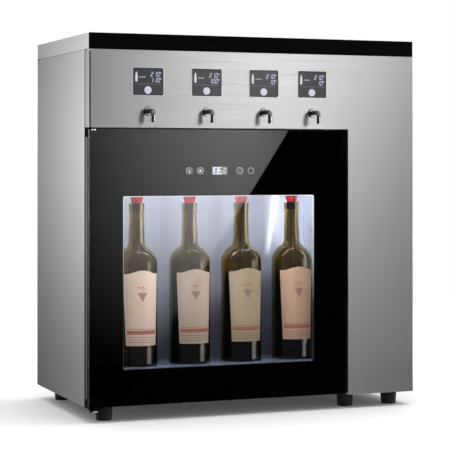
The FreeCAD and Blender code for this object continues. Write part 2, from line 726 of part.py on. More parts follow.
def spout(x):
    face = Vector(x, FRONT, SPOUT_Z)
    collar = cylinder(COLLAR_D, face.sub(Vector(0, COLLAR_T, 0)), face)
    shank = cylinder(SHANK_D, face, face.add(Vector(0, SHANK_L, 0)))
    return joined([spout_path(SPOUT_D, x), collar, shank]).cut(spout_path(SPOUT_BORE, x))


def spout_nut(x):
    radius = NUT_AF / math.sqrt(3)
    front = FRONT + SHEET
    corners = []
    for n in range(7):
        angle = math.radians(60 * n)
        corners.append(Vector(x + radius * math.cos(angle), front, SPOUT_Z + radius * math.sin(angle)))
    nut = Part.Face(Part.makePolygon(corners)).extrude(Vector(0, NUT_T, 0))
    centre = Vector(x, front, SPOUT_Z)
    return nut.cut(cylinder(SHANK_D + 2 * NUT_GAP, centre, centre.add(Vector(0, NUT_T, 0))))


def wine_valve(bottle_x, display_x):
    half = VALVE_W / 2
    left = min(bottle_x, display_x) - half
    right = max(bottle_x, display_x) + half
    top = SPOUT_Z + VALVE_TOP
    body = box(left, right, BOTTLE_Y - VALVE_FRONT, BOTTLE_Y + VALVE_REAR, SHELF_TOP, top)
    foot = Vector((left + right) / 2, BOTTLE_Y, top)
    return joined([body, cylinder(COIL_D, foot, foot.add(Vector(0, 0, COIL_H)))])


def wine_line(x):
    bore = WINE_LINE_D - 2 * WINE_LINE_WALL
    return tube(
        WINE_LINE_D, bore, Vector(x, FRONT + SHANK_L, SPOUT_Z), Vector(x, BOTTLE_Y - VALVE_FRONT, SPOUT_Z)
    )


def display(x):
    """Display module: its face fills the cut-out, and a flange sits behind the fascia."""
    half = DISPLAY_W / 2 - FIT
    flange = DISPLAY_W / 2 + DISPLAY_FLANGE
    face = rounded(
        x - half, x + half, FRONT + DISPLAY_SETBACK, DISPLAY_BACK,
        DISPLAY_BASE + FIT, DISPLAY_TOP - FIT, DISPLAY_R - FIT,
    )
    rear = box(
        x - flange, x + flange, FRONT + SHEET, DISPLAY_BACK,
        DISPLAY_BASE - DISPLAY_FLANGE, DISPLAY_TOP + DISPLAY_FLANGE,
    )
    bore = cylinder(BUTTON_D + 2 * FIT, Vector(x, FRONT, BUTTON_Z), Vector(x, DISPLAY_BACK, BUTTON_Z))
    return joined([face, rear]).cut(bore)


def button(x):
    front = Vector(x, FRONT + DISPLAY_SETBACK - BUTTON_PROUD, BUTTON_Z)
    flange = Vector(x, DISPLAY_BACK + FIT, BUTTON_Z)
    rear = flange.add(Vector(0, BUTTON_FLANGE_T, 0))
    cap = cylinder(BUTTON_D, front, rear)
    rim = [edge for edge in cap.Edges if abs(edge.CenterOfMass.y - front.y) < 0.01]
    cap = cap.makeFillet(BUTTON_EDGE_R, rim)
    return joined([cap, cylinder(BUTTON_D + 2 * BUTTON_FLANGE, flange, rear)])


def switch_board():
    """Long board behind the displays: a switch behind each button, on standoffs."""
    top = DISPLAY_TOP - BOARD_INSET
    pieces = [
        box(
            DISPLAY_X[0] - BOARD_MARGIN, DISPLAY_X[-1] + BOARD_MARGIN, BOARD_FRONT, BOARD_FRONT + BOARD_T,
            DISPLAY_BASE + BOARD_INSET, top,
        )
    ]
    for x in DISPLAY_X:
        pieces.append(centred(x, BUTTON_Z, SWITCH_W, SWITCH_W, SWITCH_FRONT, BOARD_FRONT))
        for side in (-1, 1):
            foot = Vector(x + side * (BOARD_MARGIN - STANDOFF_D), DISPLAY_BACK, top - STANDOFF_D)
            pieces.append(cylinder(STANDOFF_D, foot, Vector(foot.x, BOARD_FRONT, foot.z)))
    return joined(pieces)


# Gas

def gas_cylinder():
    foot = Vector(CYLINDER_X, MANIFOLD_Y, BASE + SHEET)
    top = Vector(CYLINDER_X, MANIFOLD_Y, REGULATOR_FOOT)
    neck = top.sub(Vector(0, 0, CYLINDER_NECK_H))
    shoulder = neck.sub(Vector(0, 0, CYLINDER_SHOULDER))
    return joined([
        cylinder(CYLINDER_D, foot, shoulder),
        cone(CYLINDER_D, CYLINDER_NECK_D, shoulder, neck),
        cylinder(CYLINDER_NECK_D, neck, top),
    ])


def gas_regulator():
    foot = Vector(CYLINDER_X, MANIFOLD_Y, REGULATOR_FOOT)
    top = foot.add(Vector(0, 0, REGULATOR_H))
    middle = foot.add(Vector(0, 0, REGULATOR_H / 2))
    gauge = middle.sub(Vector(0, REGULATOR_D / 2 + GAUGE_STEM_L, 0))
    return joined([
        cylinder(REGULATOR_D, foot, top),
        cylinder(REGULATOR_OUTLET_D, top, top.add(Vector(0, 0, REGULATOR_OUTLET_H))),
        cylinder(GAUGE_D, gauge.sub(Vector(0, GAUGE_T, 0)), gauge),
        cylinder(REGULATOR_OUTLET_D, gauge, middle),
    ])


def gas_manifold():
    half = MANIFOLD_W / 2
    return box(
        BOTTLE_X[0] - MANIFOLD_OVERHANG, MANIFOLD_RIGHT, MANIFOLD_Y - half, MANIFOLD_Y + half,
        SHELF_TOP, SHELF_TOP + MANIFOLD_H,
    )


def gas_riser(diameter):
    """The line from the regulator up and over to the manifold's end, as a round bar."""
    radius = GAS_BEND_R
    low = Vector(CYLINDER_X, MANIFOLD_Y, REGULATOR_TOP)
    bend = Vector(CYLINDER_X, MANIFOLD_Y, MANIFOLD_Z - radius)
    over = Vector(CYLINDER_X - radius, MANIFOLD_Y, MANIFOLD_Z)
    end = Vector(MANIFOLD_RIGHT, MANIFOLD_Y, MANIFOLD_Z)
    section = Part.Face(Part.Wire(Part.makeCircle(diameter / 2, bend, Vector(0, 0, 1))))
    elbow = section.revolve(bend.sub(Vector(radius, 0, 0)), Vector(0, -1, 0), 90)
    return joined([cylinder(diameter, low, bend), elbow, cylinder(diameter, over, end)])


def gas_lines():
    bore = GAS_LINE_D - 2 * GAS_LINE_WALL
    lines = [gas_riser(GAS_LINE_D).cut(gas_riser(bore))]
    for x in BOTTLE_X:
        lines.append(
            tube(GAS_LINE_D, bore, Vector(x, MANIFOLD_Y, CEILING), Vector(x, MANIFOLD_Y, SHELF_TOP))
        )
    return Part.makeCompound(lines)


# Cooling

def cold_plate():
    return centred(COOLER_X, COOLER_Z, COLD_PLATE, COLD_PLATE, LINER_BACK + LINER_T, FOAM_BACK)


def thermoelectric_cells():
    cells = []
    for side in (-1, 1):
        x = COOLER_X + side * (CELL + CELL_GAP) / 2
        cells.append(centred(x, COOLER_Z, CELL, CELL, FOAM_BACK, SINK_FRONT))
    return Part.makeCompound(cells)


def heat_sink():
    left = COOLER_X - SINK_W / 2
    low = COOLER_Z - SINK_H / 2
    high = COOLER_Z + SINK_H / 2
    root = SINK_FRONT + SINK_BASE_T
    pieces = [box(left, left + SINK_W, SINK_FRONT, root, low, high)]
    step = (SINK_W - FIN_T) / (FIN_COUNT - 1)
    for n in range(FIN_COUNT):
        x = left + step * n
        pieces.append(box(x, x + FIN_T, root, FAN_FRONT, low, high))
    return joined(pieces)


def fan_frame():
    """Square fan frame with a motor plate on four struts at its rear."""
    half = FAN_W / 2
    centre = Vector(COOLER_X, FAN_FRONT, COOLER_Z)
    rear = Vector(COOLER_X, FAN_REAR, COOLER_Z)
    motor = Vector(COOLER_X, FAN_MOTOR_FRONT, COOLER_Z)
    ring = rounded(
        COOLER_X - half, COOLER_X + half, FAN_FRONT, FAN_REAR, COOLER_Z - half, COOLER_Z + half, FAN_R
    ).cut(cylinder(FAN_BORE, centre, rear))
    reach = FAN_BORE + FAN_WALL
    level = centred(COOLER_X, COOLER_Z, reach, FAN_STRUT_W, FAN_MOTOR_FRONT, FAN_REAR)
    upright = centred(COOLER_X, COOLER_Z, FAN_STRUT_W, reach, FAN_MOTOR_FRONT, FAN_REAR)
    frame = joined([ring, level, upright, cylinder(FAN_HUB_D, motor, rear)])
    return frame.cut(cylinder(FAN_SHAFT_D + 2 * RUNNING_FIT, motor, rear))


def fan_rotor():
    """Hub with twisted blades and a shaft that runs in the motor plate."""
    front = FAN_FRONT + FAN_TIP_GAP
    rear = FAN_MOTOR_FRONT - FIT
    hub_front = Vector(COOLER_X, front, COOLER_Z)
    hub_rear = Vector(COOLER_X, rear, COOLER_Z)
    tip = Vector(COOLER_X, FAN_REAR, COOLER_Z)
    depth = rear - front
    chord = BLADE_FILL * depth / math.sin(math.radians(BLADE_PITCH))
    blades = []
    for n in range(FAN_BLADES):
        blade = box(-chord / 2, chord / 2, -BLADE_T / 2, BLADE_T / 2, FAN_HUB_D / 4, FAN_BORE / 2)
        blade.rotate(Vector(0, 0, 0), Vector(0, 0, 1), BLADE_PITCH)
        blade.rotate(Vector(0, 0, 0), Vector(0, 1, 0), 360 / FAN_BLADES * n)
        blade.translate(Vector(COOLER_X, (front + rear) / 2, COOLER_Z))
        blades.append(blade)
    envelope = cylinder(FAN_BORE - 2 * FAN_TIP_GAP, hub_front, hub_rear)
    swept = blades[0].fuse(blades[1:]).common(envelope)
    shaft = cylinder(FAN_SHAFT_D, hub_rear, tip)
    return joined([cylinder(FAN_HUB_D, hub_front, hub_rear), swept, shaft])


# Electrics

def power_supply():
    left = LEFT + PSU_LEFT
    rear = BACK - PSU_REAR
    return box(left, left + PSU_W, rear - PSU_D, rear, BASE + SHEET, BASE + SHEET + PSU_H)


def main_board():
    left = LEFT + PCB_LEFT
    rear = BACK - PCB_REAR
    front = rear - PCB_D
    level = SHELF_TOP + PCB_RISE
    top = level + BOARD_T
    pieces = [box(left, left + PCB_W, front, rear, level, top)]
    for x in (left + STANDOFF_D, left + PCB_W - STANDOFF_D):
        for y in (front + STANDOFF_D, rear - STANDOFF_D):
            pieces.append(cylinder(STANDOFF_D, Vector(x, y, SHELF_TOP), Vector(x, y, level)))
    # relays in a row and a processor with its heat spreader
    near = front + PART_MARGIN
    for n in range(BOTTLE_COUNT):
        x = left + PART_MARGIN + RELAY_PITCH * n
        pieces.append(box(x, x + RELAY_W, near, near + RELAY_W, top, top + RELAY_H))
    x = left + PCB_W / 2
    far = rear - PART_MARGIN
    pieces.append(box(x, x + CHIP_W, far - CHIP_W, far, top, top + CHIP_H))
    return joined(pieces)


def power_inlet():
    """Appliance inlet: flange outside the rear panel, body through its cut-out, three pins."""
    outer = BACK + INLET_FLANGE_T
    inner = outer - INLET_CAVITY_D
    shell = joined([
        centred(INLET_X, INLET_Z, INLET_FLANGE_W, INLET_FLANGE_H, BACK, outer),
        centred(INLET_X, INLET_Z, INLET_BODY_W, INLET_BODY_H, BACK - INLET_BODY_D, BACK),
    ])
    pieces = [shell.cut(centred(INLET_X, INLET_Z, INLET_CAVITY_W, INLET_CAVITY_H, inner, outer))]
    low = -INLET_PIN_OFFSET
    for x, z in ((-INLET_PIN_PITCH, low), (0, INLET_PIN_OFFSET), (INLET_PIN_PITCH, low)):
        pin = centred(INLET_X + x, INLET_Z + z, INLET_PIN_T, INLET_PIN_W, inner, inner + INLET_PIN_L)
        pieces.append(pin)
    return joined(pieces)


# Door

def window(margin, y0, y1):
    """The window's block between two depths, widened by a margin."""
    return rounded(
        LEFT + WINDOW_SIDE - margin, DOOR_RIGHT - WINDOW_SIDE + margin, y0, y1,
        DOOR_BASE + WINDOW_BOTTOM - margin, WINDOW_TOP + margin, WINDOW_R,
    )


def hinge_space():
    """The two corners of the door that the hinge blocks take up."""
    right = LEFT + HINGE_BLOCK_W
    return [
        box(LEFT, right, BEZEL_FRONT, DOOR_REAR, DOOR_BASE, DOOR_BASE + HINGE_BLOCK_H),
        box(LEFT, right, BEZEL_FRONT, DOOR_REAR, DOOR_TOP - HINGE_BLOCK_H, DOOR_TOP),
    ]


def door_glass():
    return rounded(LEFT, DOOR_RIGHT, FRONT, FRONT + GLASS_T, DOOR_BASE, DOOR_TOP, DOOR_CORNER_R)


def door_bezel():
    plate = rounded(LEFT, DOOR_RIGHT, BEZEL_FRONT, FRAME_FRONT, DOOR_BASE, DOOR_TOP, DOOR_CORNER_R)
    readout = centred(
        LEFT + CONTROL_X, CONTROL_Z, READOUT_W + 2 * FIT, READOUT_H + 2 * FIT, BEZEL_FRONT, FRAME_FRONT
    )
    plate = plate.cut(window(0, BEZEL_FRONT, FRAME_FRONT)).cut(readout)
    return plate.cut(Part.makeCompound(hinge_space()))


def door_frame():
    pane = DOOR_REAR - INNER_GLASS_T - BOND
    plate = rounded(LEFT, DOOR_RIGHT, FRAME_FRONT, DOOR_REAR, DOOR_BASE, DOOR_TOP, DOOR_CORNER_R)
    plate = plate.cut(window(FRAME_SETBACK, FRAME_FRONT, DOOR_REAR))
    plate = plate.cut(window(FRAME_SETBACK + REBATE, pane, DOOR_REAR))
    bay = box(
        LEFT + HINGE_BLOCK_W + BAY_WALL, DOOR_RIGHT - BAY_WALL, FRAME_FRONT, DOOR_REAR - BAY_BACK,
        BAY_BASE, DOOR_TOP - BAY_WALL,
    )
    return plate.cut(bay).cut(Part.makeCompound(hinge_space()))


def door_inner_glass():
    pane = DOOR_REAR - INNER_GLASS_T - BOND
    return window(FRAME_SETBACK + REBATE - FIT, pane, pane + INNER_GLASS_T)


def door_gasket():
    left = LEFT + GASKET_LEFT
    right = DOOR_RIGHT - GASKET_RIGHT
    low = DOOR_BASE + GASKET_BOTTOM
    high = DOOR_TOP - GASKET_TOP
    rear = CABINET - FIT
    ring = box(left, right, DOOR_REAR, rear, low, high)
    return ring.cut(
        box(left + GASKET_W, right - GASKET_W, DOOR_REAR, rear, low + GASKET_W, high - GASKET_W)
    )


def door_hinge_blocks():
    bore = PIN_D + 2 * RUNNING_FIT
    x = LEFT + PIVOT_X
    y = FRONT + PIVOT_D
    lower, upper = hinge_space()
    depth = PIN_L + FIT
    lower = lower.cut(cylinder(bore, Vector(x, y, DOOR_BASE), Vector(x, y, DOOR_BASE + depth)))
    upper = upper.cut(cylinder(bore, Vector(x, y, DOOR_TOP - depth), Vector(x, y, DOOR_TOP)))
    return Part.makeCompound([lower, upper])


def door_control_module():
    x = LEFT + CONTROL_X
    board = centred(x, CONTROL_Z, CONTROL_W, CONTROL_H, FRAME_FRONT, FRAME_FRONT + CONTROL_BOARD_T)
    return joined([board, centred(x, CONTROL_Z, READOUT_W, READOUT_H, BEZEL_FRONT, FRAME_FRONT)])


def hinge_brackets():
    """Plates on the cabinet above and below the door, each with its pin and a washer or a boss."""
    left = LEFT + BRACKET_X
    right = left + BRACKET_W
    front = FRONT + BRACKET_FRONT
    rear = front + BRACKET_D
    x = LEFT + PIVOT_X
    y = FRONT + PIVOT_D
    low = Vector(x, y, BASE)
    lower = joined([
        box(left, right, front, rear, BASE - BRACKET_T, BASE),
        box(left, right, front, front + BRACKET_T, BASE - BRACKET_LIP, BASE),
        cylinder(WASHER_D, low, Vector(x, y, DOOR_BASE - FIT)),
        cylinder(PIN_D, low, Vector(x, y, DOOR_BASE + PIN_L)),
    ])
    upper = joined([
        box(left, right, front, rear, BRACKET_BASE, BRACKET_BASE + BRACKET_T),
        cylinder(PIN_D, Vector(x, y, DOOR_TOP - PIN_L), Vector(x, y, BRACKET_BASE)),
    ])
    return Part.makeCompound([lower, upper])


def build():
    os.makedirs("parts", exist_ok=True)
    save("side_panel_left", side_panel(LEFT, 1))
    save("side_panel_right", side_panel(RIGHT, -1))
    save("rear_panel", rear_panel())
    save("base_pan", base_pan())
    save("feet", feet())
    save("case_screws", case_screws())
    save("top_lid", top_lid())
    save("lid_front_strip", lid_front_strip())
    save("front_fascia", front_fascia())
    save("fascia_end_cap", fascia_end_cap())
    save("front_frame", front_frame())
    save("liner", liner())
    save("insulation", insulation())
    save("bottle_tray", bottle_tray())
    save("light_bar", light_bar())
    save("valve_shelf", valve_shelf())
    save("hinge_brackets", hinge_brackets())
    for number, x in enumerate(BOTTLE_X, 1):
        save(f"bottle_{number}", bottle(x))
    save("bottle_stoppers", Part.makeCompound([stopper(x) for x in BOTTLE_X]))
    save("dispense_heads", Part.makeCompound([dispense_head(x) for x in BOTTLE_X]))
    save("dip_tubes", Part.makeCompound([dip_tube(x) for x in BOTTLE_X]))
    for number, x in enumerate(DISPLAY_X, 1):
        save(f"display_{number}", display(x))
        save(f"button_{number}", button(x))
        save(f"spout_{number}", spout(x))
    save("spout_nuts", Part.makeCompound([spout_nut(x) for x in DISPLAY_X]))
    save("wine_valves", Part.makeCompound([wine_valve(a, b) for a, b in zip(BOTTLE_X, DISPLAY_X)]))
    save("wine_lines", Part.makeCompound([wine_line(x) for x in DISPLAY_X]))
    save("switch_board", switch_board())
    save("gas_cylinder", gas_cylinder())
    save("gas_regulator", gas_regulator())
    save("gas_manifold", gas_manifold())
    save("gas_lines", gas_lines())
    save("cold_plate", cold_plate())
    save("thermoelectric_cells", thermoelectric_cells())
    save("heat_sink", heat_sink())
    save("fan_frame", fan_frame())
    save("fan_rotor", fan_rotor())
    save("power_supply", power_supply())
    save("main_board", main_board())
    save("power_inlet", power_inlet())
    save("door_glass", door_glass())
    save("door_bezel", door_bezel())
    save("door_frame", door_frame())
    save("door_inner_glass", door_inner_glass())
    save("door_gasket", door_gasket())
    save("door_hinge_blocks", door_hinge_blocks())
    save("door_control_module", door_control_module())


build()
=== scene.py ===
import bpy
import bmesh
import math
from collections import namedtuple
from mathutils import Matrix, Vector


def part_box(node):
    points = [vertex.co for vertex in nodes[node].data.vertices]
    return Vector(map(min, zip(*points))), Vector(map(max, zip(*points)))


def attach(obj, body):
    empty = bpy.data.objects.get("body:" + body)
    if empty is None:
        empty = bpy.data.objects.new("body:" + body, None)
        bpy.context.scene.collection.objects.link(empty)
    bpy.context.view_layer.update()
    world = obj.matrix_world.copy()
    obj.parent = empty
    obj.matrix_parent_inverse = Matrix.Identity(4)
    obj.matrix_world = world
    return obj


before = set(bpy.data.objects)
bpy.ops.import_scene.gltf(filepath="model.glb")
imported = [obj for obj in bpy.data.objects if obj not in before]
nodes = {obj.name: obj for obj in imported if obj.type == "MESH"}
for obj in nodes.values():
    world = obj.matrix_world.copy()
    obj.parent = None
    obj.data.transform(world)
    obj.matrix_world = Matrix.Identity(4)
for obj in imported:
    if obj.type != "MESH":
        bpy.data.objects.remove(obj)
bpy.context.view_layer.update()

MM = 0.001
AIR = 0.02 * MM  # between print or thin trim and what carries it
NUMBERS = range(1, 5)  # of the bottles
WHITE = (1, 1, 1)

# Camera: from the front left, nearly level
CAMERA_AT = Vector((-1.117, -2.843, 0.4485))
CAMERA_TURN = math.radians(21.44)  # towards the right
CAMERA_RISE = math.radians(0.47)  # upwards
CAMERA_LENS = 131.3
CAMERA_SHIFT = -0.172

# An upright opening in the x-z plane, with the depth of the surface that it lies in
Opening = namedtuple("Opening", "left right base top face")

# Places that several pieces share, from the frame
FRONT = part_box("front_fascia")[0].y
DOOR_LOW, DOOR_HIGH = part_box("door_glass")
BEZEL_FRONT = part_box("door_bezel")[0].y
PRINT_Y = (DOOR_HIGH.y + BEZEL_FRONT) / 2  # print between the outer glass and the bezel
LINER_LOW, LINER_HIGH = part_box("liner")
MOUTH_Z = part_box("bottle_1")[1].z  # the bottles' mouths
DOOR_WINDOW = Opening(-248 * MM, 112 * MM, 88.9 * MM, 387.8 * MM, BEZEL_FRONT)


def middle_of(name):
    low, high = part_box(name)
    return (low + high) / 2


# ------ shader nodes

def feed(tree, node, inputs):
    """Gives inputs of a node their values, or links them to another node's socket."""
    for key, value in inputs.items():
        if isinstance(value, bpy.types.NodeSocket):
            tree.links.new(value, node.inputs[key])
        else:
            node.inputs[key].default_value = value


def link_math(tree, operation, a, b):
    node = tree.nodes.new("ShaderNodeMath")
    node.operation = operation
    feed(tree, node, {0: a, 1: b})
    return node.outputs[0]


def product(tree, first, *others):
    for other in others:
        first = link_math(tree, "MULTIPLY", first, other)
    return first


def ramp(tree, value, low, high, out_low=0.0, out_high=1.0):
    """Passes smoothly from out_low to out_high while the value goes from low to high."""
    node = tree.nodes.new("ShaderNodeMapRange")
    node.interpolation_type = "SMOOTHSTEP"
    limits = {"From Min": low, "From Max": high, "To Min": out_low, "To Max": out_high}
    feed(tree, node, {"Value": value, **limits})
    return node.outputs["Result"]


def axes_of(tree, space="Object"):
    """The x, y and z of a texture space, as sockets X, Y and Z."""
    place = tree.nodes.new("ShaderNodeTexCoord")
    axes = tree.nodes.new("ShaderNodeSeparateXYZ")
    tree.links.new(place.outputs[space], axes.inputs[0])
    return axes.outputs


def mix_colours(tree, factor, low, high):
    """Passes from one colour to another with a factor; high may be a socket."""
    mix = tree.nodes.new("ShaderNodeMix")
    mix.data_type = "RGBA"
    if not isinstance(high, bpy.types.NodeSocket):
        high = (*high, 1)
    feed(tree, mix, {"Factor": factor, "A": (*low, 1), "B": high})
    return mix.outputs["Result"]


def noise(tree, scale, stretch=(1, 1, 1), detail=3.0):
    """Noise in the object's own metres; a larger stretch along an axis makes it finer there."""
    place = tree.nodes.new("ShaderNodeTexCoord")
    mapping = tree.nodes.new("ShaderNodeMapping")
    texture = tree.nodes.new("ShaderNodeTexNoise")
    feed(tree, mapping, {"Vector": place.outputs["Object"], "Scale": stretch})
    feed(tree, texture, {"Vector": mapping.outputs[0], "Scale": scale, "Detail": detail})
    return texture.outputs["Fac"]


MATERIALS = {}


def new_material(name, colour, roughness, metallic=0.0):
    """A plain material, kept in MATERIALS; returns its node tree and its shader."""
    material = bpy.data.materials.new(name)
    MATERIALS[name] = material
    material.use_nodes = True
    tree = material.node_tree
    shader = tree.nodes["Principled BSDF"]
    feed(tree, shader, {"Base Color": (*colour, 1), "Roughness": roughness, "Metallic": metallic})
    return tree, shader


# ------ mesh helpers

def add_mesh(name, mesh, smooth_to=None):
    """An object from a mesh; its edges look smooth up to an angle in degrees."""
    data = bpy.data.meshes.new(name)
    bmesh.ops.recalc_face_normals(mesh, faces=mesh.faces)
    mesh.to_mesh(data)
    mesh.free()
    if smooth_to:
        data.shade_smooth()
        data.set_sharp_from_angle(angle=math.radians(smooth_to))
    piece = bpy.data.objects.new(name, data)
    bpy.context.scene.collection.objects.link(piece)
    return piece


def add_sheet(name, corners):
    mesh = bmesh.new()
    mesh.faces.new([mesh.verts.new(corner) for corner in corners])
    return add_mesh(name, mesh)


def bevel(piece, width, segments=2):
    modifier = piece.modifiers.new("edges", "BEVEL")
    modifier.width = width
    modifier.segments = segments
    modifier.limit_method = "ANGLE"
    modifier.angle_limit = math.radians(40)


def add_piece(name, mesh, finish, slot=None, body="cabinet", smooth_to=None, edge=0.0, segments=2):
    """A dressed piece of the object from a mesh; edge is the width of its bevels."""
    piece = add_mesh(name, mesh, smooth_to)
    if edge:
        bevel(piece, edge, segments)
    piece.data.materials.append(MATERIALS[finish])
    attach(piece, body)


def prism(mesh, outline, y0, y1):
    """A closed block from an outline of (x, z) points, between two depths."""
    near = [mesh.verts.new((x, y0, z)) for x, z in outline]
    far = [mesh.verts.new((x, y1, z)) for x, z in outline]
    mesh.faces.new(near)
    mesh.faces.new(list(reversed(far)))
    count = len(outline)
    for n in range(count):
        after = (n + 1) % count
        mesh.faces.new([near[n], far[n], far[after], near[after]])


def box_outline(x0, x1, z0, z1):
    return [(x0, z0), (x1, z0), (x1, z1), (x0, z1)]


def ring_outline(x, z, radius, count=48):
    turns = [2 * math.pi * n / count for n in range(count)]
    return [(x + radius * math.cos(turn), z + radius * math.sin(turn)) for turn in turns]


def round_box_outline(x0, x1, z0, z1, radius, steps=6):
    left, right, base, top = x0 + radius, x1 - radius, z0 + radius, z1 - radius
    points = []
    for x, z, start in ((right, top, 0), (left, top, 90), (left, base, 180), (right, base, 270)):
        for n in range(steps + 1):
            angle = math.radians(start + 90 * n / steps)
            points.append((x + radius * math.cos(angle), z + radius * math.sin(angle)))
    return points


def inset_outline(opening, sides, foot, radius):
    """An opening's outline, moved inwards by one distance at its sides and top, another at its foot."""
    return round_box_outline(
        opening.left + sides, opening.right - sides, opening.base + foot, opening.top - sides, radius
    )


def frame_prism(mesh, outer, inner, y0, y1):
    """A closed frame between two outlines of equally many points, between two depths."""
    loops = [[mesh.verts.new((x, y, z)) for x, z in line] for line in (outer, inner) for y in (y0, y1)]
    outer_near, outer_far, inner_near, inner_far = loops
    count = len(outer)
    for n in range(count):
        after = (n + 1) % count
        mesh.faces.new([outer_near[n], outer_near[after], inner_near[after], inner_near[n]])
        mesh.faces.new([outer_far[n], inner_far[n], inner_far[after], outer_far[after]])
        mesh.faces.new([outer_near[n], outer_far[n], outer_far[after], outer_near[after]])
        mesh.faces.new([inner_near[n], inner_near[after], inner_far[after], inner_far[n]])


def ring_outlines(x, z, outer, inner, count=48):
    return ring_outline(x, z, outer, count), ring_outline(x, z, inner, count)


def add_prisms(name, outlines, y0, y1, finish, slot=None, **dressing):
    """A piece of one or more blocks between the same depths."""
    mesh = bmesh.new()
    for outline in outlines:
        prism(mesh, outline, y0, y1)
    add_piece(name, mesh, finish, slot, **dressing)


def add_frame(name, outlines, y0, y1, finish, slot=None, **dressing):
    """A piece that is a frame or ring, from its outer and inner outline."""
    mesh = bmesh.new()
    frame_prism(mesh, *outlines, y0, y1)
    add_piece(name, mesh, finish, slot, **dressing)


def lathe(mesh, profile, x, y, z, steps=64):
    """A revolved skin about an upright axis, from (radius, height) points, closed on the axis."""
    turns = [2 * math.pi * n / steps for n in range(steps)]
    rings = []
    for radius, height in profile:
        if radius == 0:
            points = [(x, y, z + height)]
        else:
            points = [(x + radius * math.cos(a), y + radius * math.sin(a), z + height) for a in turns]
        rings.append([mesh.verts.new(point) for point in points])
    for low, high in zip(rings, rings[1:]):
        for n in range(steps):
            after = (n + 1) % steps
            if len(low) == 1:
                mesh.faces.new([low[0], high[n], high[after]])
            elif len(high) == 1:
                mesh.faces.new([low[n], low[after], high[0]])
            else:
                mesh.faces.new([low[n], low[after], high[after], high[n]])


def add_turned(mesh, profile, place, steps):
    """Adds a part revolved about the z axis of a place, a matrix, from a profile in millimetres."""
    before = len(mesh.verts)
    lathe(mesh, [(radius * MM, height * MM) for radius, height in profile], 0, 0, 0, steps)
    bmesh.ops.transform(mesh, matrix=place, verts=list(mesh.verts)[before:])


# ------ camera, world, floor

def make_camera():
    bpy.context.scene.view_settings.view_transform = "Standard"
    data = bpy.data.cameras.new("camera")
    data.lens = CAMERA_LENS
    data.shift_y = CAMERA_SHIFT
    data.clip_start = 0.1
    data.clip_end = 60
    camera = bpy.data.objects.new("camera", data)
    camera.location = CAMERA_AT
    camera.rotation_euler = (math.pi / 2 + CAMERA_RISE, 0, -CAMERA_TURN)
    bpy.context.scene.collection.objects.link(camera)
    bpy.context.scene.camera = camera


STUDIO_DARK = 0.006  # the unlit studio in front of the object
STUDIO_LOW = 0.05  # behind the object, below the horizon
STUDIO_HIGH = 0.3  # and above it
STUDIO_TOP = 0.35  # the pale ceiling
FILL = 0.9  # soft light from all around


def mirrored_studio(tree):
    """What metal and glossy glass show: pale behind the object and overhead, unlit in front of it."""
    axes = axes_of(tree, "Generated")
    behind = ramp(tree, axes["Y"], -0.1, 0.3)
    behind = product(tree, behind, ramp(tree, axes["Z"], -0.22, 0.06, STUDIO_LOW, STUDIO_HIGH))
    above = ramp(tree, axes["Z"], 0.2, 0.75, STUDIO_DARK, STUDIO_TOP)
    return link_math(tree, "MAXIMUM", behind, above)


def seen_white(tree, path):
    """1 for rays straight from the camera or through glass, 0 for the others."""
    bounces = link_math(tree, "ADD", path["Glossy Depth"], path["Diffuse Depth"])
    straight = link_math(tree, "LESS_THAN", bounces, 0.5)
    through = product(tree, path["Is Transmission Ray"], straight)
    return link_math(tree, "MAXIMUM", through, path["Is Camera Ray"])


def make_world():
    """A white background, a dim studio that only reflections and refractions show, and soft light."""
    world = bpy.data.worlds.new("studio")
    bpy.context.scene.world = world
    world.use_nodes = True
    tree = world.node_tree
    tree.nodes.clear()
    path = tree.nodes.new("ShaderNodeLightPath").outputs
    mirrored = link_math(tree, "MAXIMUM", path["Is Glossy Ray"], path["Is Transmission Ray"])
    level = tree.nodes.new("ShaderNodeMix")
    feed(tree, level, {"Factor": mirrored, "A": FILL, "B": mirrored_studio(tree)})
    strength = link_math(tree, "MAXIMUM", level.outputs["Result"], seen_white(tree, path))
    background = tree.nodes.new("ShaderNodeBackground")
    feed(tree, background, {"Color": (*WHITE, 1), "Strength": strength})
    output = tree.nodes.new("ShaderNodeOutputWorld")
    tree.links.new(background.outputs[0], output.inputs[0])


FLOOR_FRONT = -0.62
FLOOR_BACK = 1.7
FLOOR_SIDE = 1.8
FLOOR_COLOUR = (0.88, 0.88, 0.88)
FLOOR_LIFT = 0.04  # for camera, glossy and transmission rays, so that the floor is white


def make_floor():
    """A floor for the object's shadow; mirrors and glass show the world instead."""
    tree, shader = new_material("floor", FLOOR_COLOUR, 0.9)
    path = tree.nodes.new("ShaderNodeLightPath").outputs
    rays = link_math(tree, "MAXIMUM", path["Is Glossy Ray"], path["Is Transmission Ray"])
    rays = link_math(tree, "MAXIMUM", rays, path["Is Camera Ray"])
    glow = {"Emission Color": (*WHITE, 1), "Emission Strength": product(tree, rays, FLOOR_LIFT)}
    feed(tree, shader, {"Specular IOR Level": 0.1, **glow})
    floor = add_sheet("floor", [
        (-FLOOR_SIDE, FLOOR_FRONT, 0), (FLOOR_SIDE, FLOOR_FRONT, 0),
        (FLOOR_SIDE, FLOOR_BACK, 0), (-FLOOR_SIDE, FLOOR_BACK, 0),
    ])
    floor.data.materials.append(MATERIALS["floor"])
    floor.visible_glossy = False
    floor.visible_transmission = False


# ------ materials

NOISE_RANGE = (0.3, 0.7)  # what a noise mostly stays between
BRUSH_DEPTH = 0.03 * MM
STEEL = (0.56, 0.56, 0.565)
PAPERS = [(0.62, 0.48, 0.4), (0.43, 0.345, 0.28), (0.38, 0.3, 0.2), (0.46, 0.29, 0.2)]  # labels


def scaled(colour, factor):
    return tuple(c * factor for c in colour)


